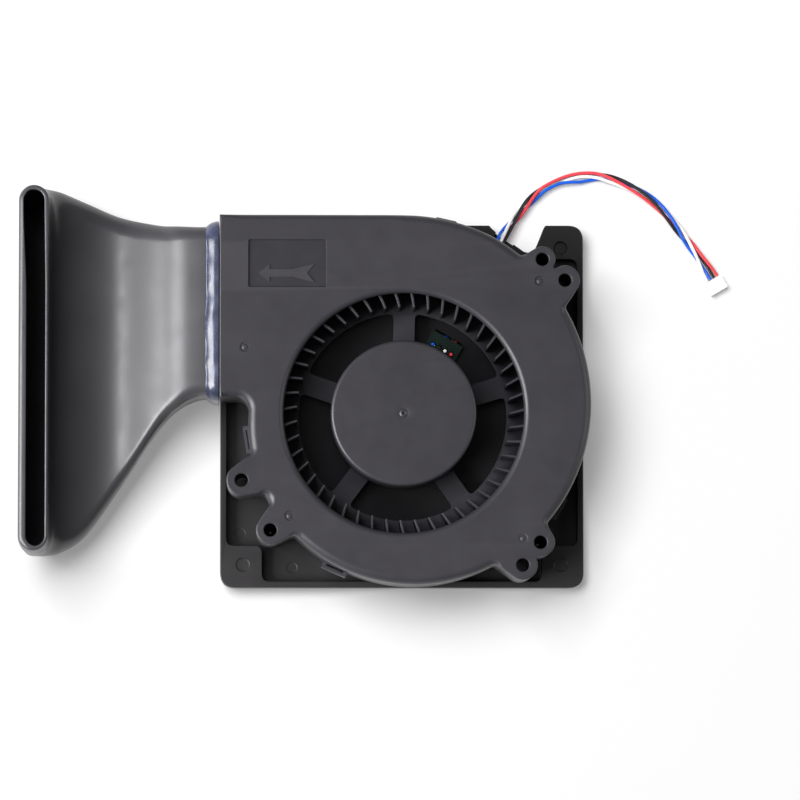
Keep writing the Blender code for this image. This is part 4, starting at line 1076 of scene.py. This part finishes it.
def make_duct():
    shares = [i / DUCT_RINGS for i in range(DUCT_RINGS + 1)]
    outer = [duct_section(share, 0.0) for share in shares]
    inner = [duct_section(share, -DUCT_WALL) for share in shares]
    top = DUCT_HIGH.z
    rim, mouth_line = duct_section(1.0, 0.0), duct_section(1.0, -DUCT_WALL)
    middle_x = sum(point.x for point in rim) / len(rim)
    edges = [RIM_EDGE + OUTER_RIM_EDGE * ease(middle_x - point.x, MM, 4 * MM) for point in rim]
    shoulder = []
    for a in (0.0, math.pi / 8, math.pi / 4, 3 * math.pi / 8, math.pi / 2):
        shoulder.append([
            Vector((point.x, point.y, top)) + (deep - point) / DUCT_WALL * edge * (1 - math.cos(a))
            - Vector((0.0, 0.0, edge * (1 - math.sin(a))))
            for point, deep, edge in zip(rim, mouth_line, edges)])
    lip = 0.35 * MM
    mouth = []
    for grow, drop in ((lip, 0.0), (0.1 * MM, 0.1 * MM), (0.0, lip)):
        mouth.append([Vector((point.x, point.y, top - drop))
                      for point in duct_section(1.0, grow - DUCT_WALL)])
    below = top - RIM_EDGE - OUTER_RIM_EDGE - 0.2 * MM
    outer = [ring for ring in outer if ring[0].z < below]
    inner = mouth + [ring for ring in inner if ring[0].z < below][::-1]
    inner = [[point + Vector((lean_of_slot(point), 0.0, 0.0)) for point in ring] for ring in inner]
    build = bmesh.new()
    add_rows(build, outer + shoulder + inner + [outer[0]])
    mesh = close_mesh(build, "outlet_duct")
    return housing_piece("outlet_duct", mesh, "duct_plastic", 50)


def make_bead():
    """Sealant smoothed into the joint by hand: steep at its ragged edge, flatter at the blower."""
    rings = 26
    start, stop = BEAD_LOW.x, BEAD_HIGH.x
    outer, count = [], 0
    for k in range(rings + 1):
        t = k / rings
        x = start + t * (stop - start)
        sizes = []
        for point in duct_section(share_at_x(x), 0.0):
            around = Vector((point.y, point.z, 0.0)) / MM
            edge = noise.noise(around * 0.12) + 0.5 * noise.noise(around * 0.45)
            lump = noise.noise(Vector((around.x * 0.25, around.y * 0.25, 7.0 + 1.6 * t)))
            spread_in = min(max((t - 0.06 - 0.10 * edge) / 0.94, 0.0), 1.0)
            rise = 1 - (1 - spread_in) ** 2.5
            sizes.append((0.12 + BEAD_RISE * rise * (0.94 + 0.10 * lump)) * MM)
        outer.append(bead_ring(x, sizes))
        count = len(sizes)
    inner = [bead_ring(x, [-0.35 * MM] * count) for x in (stop, start)]
    build = bmesh.new()
    add_rows(build, outer + inner + [outer[0]])
    mesh = close_mesh(build, "sealant_bead")
    return housing_piece("sealant_bead", mesh, "sealant", 60)


def bead_ring(x, sizes):
    """A ring round the duct at one x, standing off it by a different amount at each point."""
    section = duct_section(share_at_x(x), 0.0)
    wide = duct_section(share_at_x(x), MM)
    ring = []
    for point, outward, size in zip(section, wide, sizes):
        ahead = Vector((0.0, outward.y - point.y, outward.z - point.z)).normalized()
        ring.append(Vector((x, point.y, point.z)) + ahead * size)
    return ring


def share_at_x(x):
    """Where along the duct its upper skin passes a given x, near the neck."""
    low, high = 0.0, 0.3
    for _ in range(30):
        middle = (low + high) / 2
        if station_value(middle, 0) > x:
            low = middle
        else:
            high = middle
    return low


# ---------------------------------------------------------------- impeller

def arm_window(index):
    """Opening between two neighbouring arms, with flared corners at the ring."""
    first = ARM_FIRST + 2 * math.pi * index / ARMS
    second = first + 2 * math.pi / ARMS
    inner = HUB_RADIUS - 0.4 * MM
    half = ARM_WIDTH / 2
    outer_turn = math.asin(half / RING_INNER)
    shape = [polar(inner, first + math.asin(half / inner))]
    bend = ARM_FLARE / RING_INNER
    for t in [i / 6 for i in range(7)]:
        radius = RING_INNER - ARM_FLARE * (1 - t) ** 2
        shape.append(polar(radius, first + math.asin(half / radius) + bend * t * t))
    start, stop = first + outer_turn + bend, second - outer_turn - bend
    shape += [polar(RING_INNER, start + (stop - start) * i / 40) for i in range(1, 40)]
    for t in [1 - i / 6 for i in range(7)]:
        radius = RING_INNER - ARM_FLARE * (1 - t) ** 2
        shape.append(polar(radius, second - math.asin(half / radius) - bend * t * t))
    start, stop = second - math.asin(half / inner), first + math.asin(half / inner)
    shape += [polar(inner, start + (stop - start) * i / 30) for i in range(30)]
    return shape


def vane_outline(index):
    """One curved vane seen from the front: thin at both ends."""
    base = 2 * math.pi * index / VANES + VANE_PHASE
    left, right = [], []
    steps = 10
    for i in range(steps + 1):
        t = i / steps
        radius = VANE_INNER + t * (VANE_OUTER - VANE_INNER)
        angle = base + VANE_SWEEP * (0.9 * t + 0.1 * t * t)
        swell = 0.72 + 0.28 * math.sin(math.pi * min(t * 1.2, 1.0))
        spread = VANE_THICKNESS / 2 * swell / radius
        left.append(polar(radius, angle + spread))
        right.append(polar(radius, angle - spread))
    return right + left[::-1]


def hub_profile():
    """Section of the hub cup, from the middle of its front face round to its inside."""
    top = FAN_HIGH.z
    edge = 1.1 * MM
    profile = [(0.0, top - 0.55 * MM), (0.25 * MM, top - 0.5 * MM), (0.6 * MM, top - 0.06 * MM),
               (0.8 * MM, top), (0.95 * MM, top - 0.02 * MM), (1.4 * MM, top - 0.34 * MM),
               (1.6 * MM, top - 0.3 * MM), (2.2 * MM, top - 0.2 * MM),
               (3.3 * MM, top - 0.24 * MM),
               (3.7 * MM, top - 0.2 * MM), (HUB_RADIUS - 3 * MM, top - 0.2 * MM)]
    rim = top - 0.2 * MM
    for i in range(7):
        angle = math.pi / 2 * i / 6
        profile.append((HUB_RADIUS - edge * (1 - math.sin(angle)),
                        rim - edge * (1 - math.cos(angle))))
    inside = HUB_RADIUS - HUB_WALL
    profile += [(HUB_RADIUS, HUB_BOTTOM), (inside, HUB_BOTTOM), (inside, top - HUB_WALL),
                (0.0, top - HUB_WALL)]
    return profile


def make_impeller():
    windows = [arm_window(index) for index in range(ARMS)]
    hole = circle(HUB_RADIUS - HUB_WALL / 2, HUB_SIDES, AXIS)
    disc = close_mesh(prism([circle(RING_OUTER, RING_SIDES, AXIS), hole] + windows, *RING_Z),
                      "impeller")
    vanes = bmesh.new()
    for index in range(VANES):
        outline = vane_outline(index)
        normals = normals_2d(outline)
        crown = 0.16 * MM
        rows = [lift(inset(outline, normals, -crown), VANE_TOP),
                lift(outline, VANE_TOP - crown), lift(outline, RING_Z[0] + MM)]
        add_rows(vanes, rows)
        add_fill(vanes, [rows[0]], VANE_TOP)
        add_fill(vanes, [outline], RING_Z[0] + MM)
    edge = 0.3 * MM
    band_top, band_low, outside = BAND_Z[1], BAND_Z[0], RING_OUTER - 0.05 * MM
    band = turned([(outside - edge, band_top), (outside, band_top - edge), (outside, band_low),
                   (BAND_INNER, band_low), (BAND_INNER, band_top - edge),
                   (BAND_INNER + edge, band_top)], RING_SIDES)
    mesh = boolean(disc, [join(vanes), join(band), join(turned(hub_profile(), HUB_SIDES))])
    return smooth(add_piece("impeller_visual", mesh, "fan_plastic", "rotor",
                            ["impeller"]), 34)


# ---------------------------------------------------------------- lead

def lead_points():
    """Evenly spaced points of the smooth curve through the lead's route."""
    dense = [Vector(point) * MM for point in smooth_line(LEAD_ROUTE, 12)]
    return read_line(dense, LEAD_SAMPLES, LEAD_SAMPLES - 1)


def twist_at(share):
    """Angle that the bundle has turned through."""
    for (first, start), (second, stop) in zip(TWIST, TWIST[1:]):
        if share <= second:
            return math.radians(start + (stop - start) * (share - first) / (second - first))
    return math.radians(TWIST[-1][1])


def connector_offset(name):
    return CONNECTOR_PITCH * (1.5 - CONNECTOR_ORDER.index(name))


def traded_at(share):
    """How far two of the wires have traded places: 0 outside the exchange, 1 inside it."""
    there, back = EXCHANGE
    return ease(share, *there) - ease(share, *back)


def strand_points(name):
    """Centreline of one wire: wound round the bundle's route, then fanned to the connector."""
    centre = lead_points()
    points = []
    for index, point in enumerate(centre):
        share = index / (len(centre) - 1)
        before, after = centre[max(index - 1, 0)], centre[min(index + 1, len(centre) - 1)]
        ahead = after - before
        aside = Vector((-ahead.y, ahead.x, 0.0)).normalized()
        angle = twist_at(share) + math.radians(STRANDS[name])
        traded = traded_at(share)
        turn, swell = EXCHANGED.get(name, (0, 0.0))
        angle += math.radians(turn) * traded
        radius = TWIST_RADIUS + 4 * swell * traded * (1 - traded)
        fan = ease(share, FAN_START, 1.0)
        sideways = radius * math.cos(angle) * (1 - fan) + connector_offset(name) * fan
        upward = radius * math.sin(angle) * (1 - fan * fan)
        points.append(point + aside * sideways + Vector((0.0, 0.0, upward)))
    return points


def make_wire(name):
    """One insulated wire, read more finely from the same curve as its solid."""
    knots = [tuple(point / MM) for point in strand_points(name)]
    points = [Vector(point) * MM for point in smooth_line(knots, 4)]
    curve = bpy.data.curves.new(name + "_wire_visual", "CURVE")
    curve.dimensions = "3D"
    curve.bevel_depth = WIRE_RADIUS
    curve.bevel_resolution = 4
    curve.use_fill_caps = True
    spline = curve.splines.new("POLY")
    spline.points.add(len(points) - 1)
    for point, place in zip(spline.points, points):
        point.co = (*place, 1.0)
    spline.use_smooth = True
    wire = add_piece(name + "_wire_visual", curve, name + "_insulation", "housing",
                     [name + "_wire"])
    return wire


def make_connector():
    """Crimp housing: a rounded block with four cells and a groove across its top."""
    route = lead_points()
    ahead = (route[-1] - route[-2]).xy.normalized()
    aside = Vector((-ahead.y, ahead.x))
    length, width, height = CONNECTOR_SIZE
    start = route[-1].xy + ahead * GAP
    low = 0.1 * MM

    def outline(u0, u1, v0, v1, radius):
        return round_corners(slab(start, ahead, aside, (u0, u1), (v0, v1)), radius, 4)
    half = width / 2
    top = low + height
    body = outline(0.0, length, -half, half, 0.25 * MM)
    normals = normals_2d(body)
    build = bmesh.new()
    turn_in = -1 if normals[0].dot(Vector(body[0]) - start - ahead * length / 2) < 0 else 1
    normals = [n * turn_in for n in normals]
    edge = 0.15 * MM
    upper = rounded_rows(body, normals, edge, top, 3)
    under = rounded_rows(body, normals, edge, low, 3, down=False)
    add_rows(build, upper + under[::-1])
    add_fill(build, [upper[0]], top)
    add_fill(build, [under[0]], low)
    steps = []
    for name in CONNECTOR_ORDER:
        v = connector_offset(name)
        cell = outline(-MM, length + MM, v - SOCKET[0] / 2, v + SOCKET[0] / 2, 0.0)
        middle = low + height / 2
        steps.append(cut(prism([cell], middle - SOCKET[1] / 2, middle + SOCKET[1] / 2)))
    groove = outline(3.4 * MM, 3.8 * MM, -half - MM, half + MM, 0.0)
    steps.append(cut(prism([groove], top - 0.25 * MM, top + MM)))
    mesh = boolean(close_mesh(build, "connector_housing"), steps)
    return housing_piece("connector_housing", mesh, "nylon")


def make_solder_joints():
    """A bright cone of solder round each wire end on the circuit board."""
    board_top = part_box("circuit_board")[1].z
    for name in STRANDS:
        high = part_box(name + "_inner_lead")[1]
        node = frame["nodes"][name + "_inner_lead"]
        tips = [v.co for v in node.data.vertices if v.co.z > high.z - 0.8 * MM]
        place = sum(tips, Vector()) / len(tips)
        steps = ((0.58, 0.0), (1.05, 0.0), (0.98, 0.16), (0.8, 0.34), (0.66, 0.5), (0.58, 0.62))
        profile = [(r * MM, board_top + 0.02 * MM + z * MM) for r, z in steps]
        mesh = close_mesh(turned(profile, 28, place), name + "_solder")
        smooth(add_piece(name + "_solder_joint", mesh, "solder", "housing"), 60)


# ---------------------------------------------------------------- stage

def area_light(name, place, target, size, power, spared=()):
    """A rectangular light; the spared objects are left dark by it."""
    light = bpy.data.lights.new(name, "AREA")
    light.shape = "RECTANGLE"
    light.size, light.size_y = size
    light.energy = power
    lamp = new_object(name, light)
    lamp.location = place
    lamp.rotation_euler = (Vector(target) - Vector(place)).to_track_quat("-Z", "Y").to_euler()
    if spared:
        receivers = bpy.data.collections.new(name + "_receivers")
        for thing in spared:
            receivers.objects.link(thing)
        for link in receivers.collection_objects:
            link.light_linking.link_state = "EXCLUDE"
        lamp.light_linking.receiver_collection = receivers
    return lamp


def make_world():
    """A pale backdrop that lights the part only faintly, so that hollows stay dark."""
    world = bpy.data.worlds.new("studio")
    bpy.context.scene.world = world
    world.use_nodes = True
    tree = world.node_tree
    faint = tree.nodes["Background"]
    faint.inputs["Color"].default_value = (1.0, 1.0, 1.0, 1.0)
    faint.inputs["Strength"].default_value = WORLD_STRENGTH
    backdrop = tree.nodes.new("ShaderNodeBackground")
    backdrop.inputs["Color"].default_value = (0.93, 0.93, 0.94, 1.0)
    seen = tree.nodes.new("ShaderNodeLightPath")
    blend = tree.nodes.new("ShaderNodeMixShader")
    tree.links.new(seen.outputs["Is Camera Ray"], blend.inputs[0])
    tree.links.new(faint.outputs[0], blend.inputs[1])
    tree.links.new(backdrop.outputs[0], blend.inputs[2])
    tree.links.new(blend.outputs[0], tree.nodes["World Output"].inputs["Surface"])


def make_floor():
    build = bmesh.new()
    reach = 6.0
    corners = [(-reach, -reach), (reach, -reach), (reach, reach), (-reach, reach)]
    build.faces.new([build.verts.new((x, y, -0.02 * MM)) for x, y in corners])
    floor = new_object("floor", close_mesh(build, "floor"))
    paint = Paint("pale_floor", 0.8)
    paint.finish({"Specular IOR Level": 0.1, "Emission Color": (1.0, 1.0, 1.0),
                  "Emission Strength": FLOOR_GLOW})
    mottle = paint.noise(3.0)
    paint.colour(paint.ramp(mottle, [(0.3, (0.80, 0.80, 0.80)), (0.7, (0.82, 0.82, 0.82))]))
    floor.data.materials.append(paint.material)
    return floor


def make_camera():
    camera = bpy.data.cameras.new("camera")
    camera.lens = CAMERA_LENS
    camera.sensor_width = CAMERA_SENSOR
    camera.clip_end = 100.0
    seat = new_object("camera", camera)
    back = Vector((-math.tan(CAMERA_ROLL), -math.tan(CAMERA_TILT), 1.0)).normalized()
    right = Vector((0.0, 1.0, 0.0)).cross(back).normalized()
    up = back.cross(right)
    turn = Matrix((right, up, back)).transposed().to_4x4()
    seat.matrix_world = Matrix.Translation(CAMERA_TARGET + back * CAMERA_DISTANCE) @ turn
    bpy.context.scene.camera = seat


bpy.context.scene.view_settings.view_transform = "Standard"
make_camera()
make_world()
floor = make_floor()
connector = make_connector()
for strand in STRANDS:
    make_wire(strand)
make_front_shell()
make_back_shell()
make_tray()
duct = make_duct()
make_bead()
make_impeller()
make_solder_joints()
for node_name, node in frame["nodes"].items():
    if not node.hide_render:
        node.data.materials.clear()
        node.data.materials.append(MATERIALS[CAD_FINISHES[node_name]])
        node.data.shade_smooth()
        node.data.set_sharp_from_angle(angle=math.radians(35))

key = area_light("shadow_key", (-0.72, 0.54, 2.33), (0.0, 0.0, 0.0), (1.3, 1.3), 64)
key.visible_glossy = False
area_light("left_softbox", (-1.15, -0.25, 0.80), (-0.05, 0.0, 0.02), (0.9, 1.1), 44, [floor])
area_light("right_fill", (1.3, 0.1, 0.7), (-0.05, 0.0, 0.02), (0.8, 0.8), 5, [floor, duct])
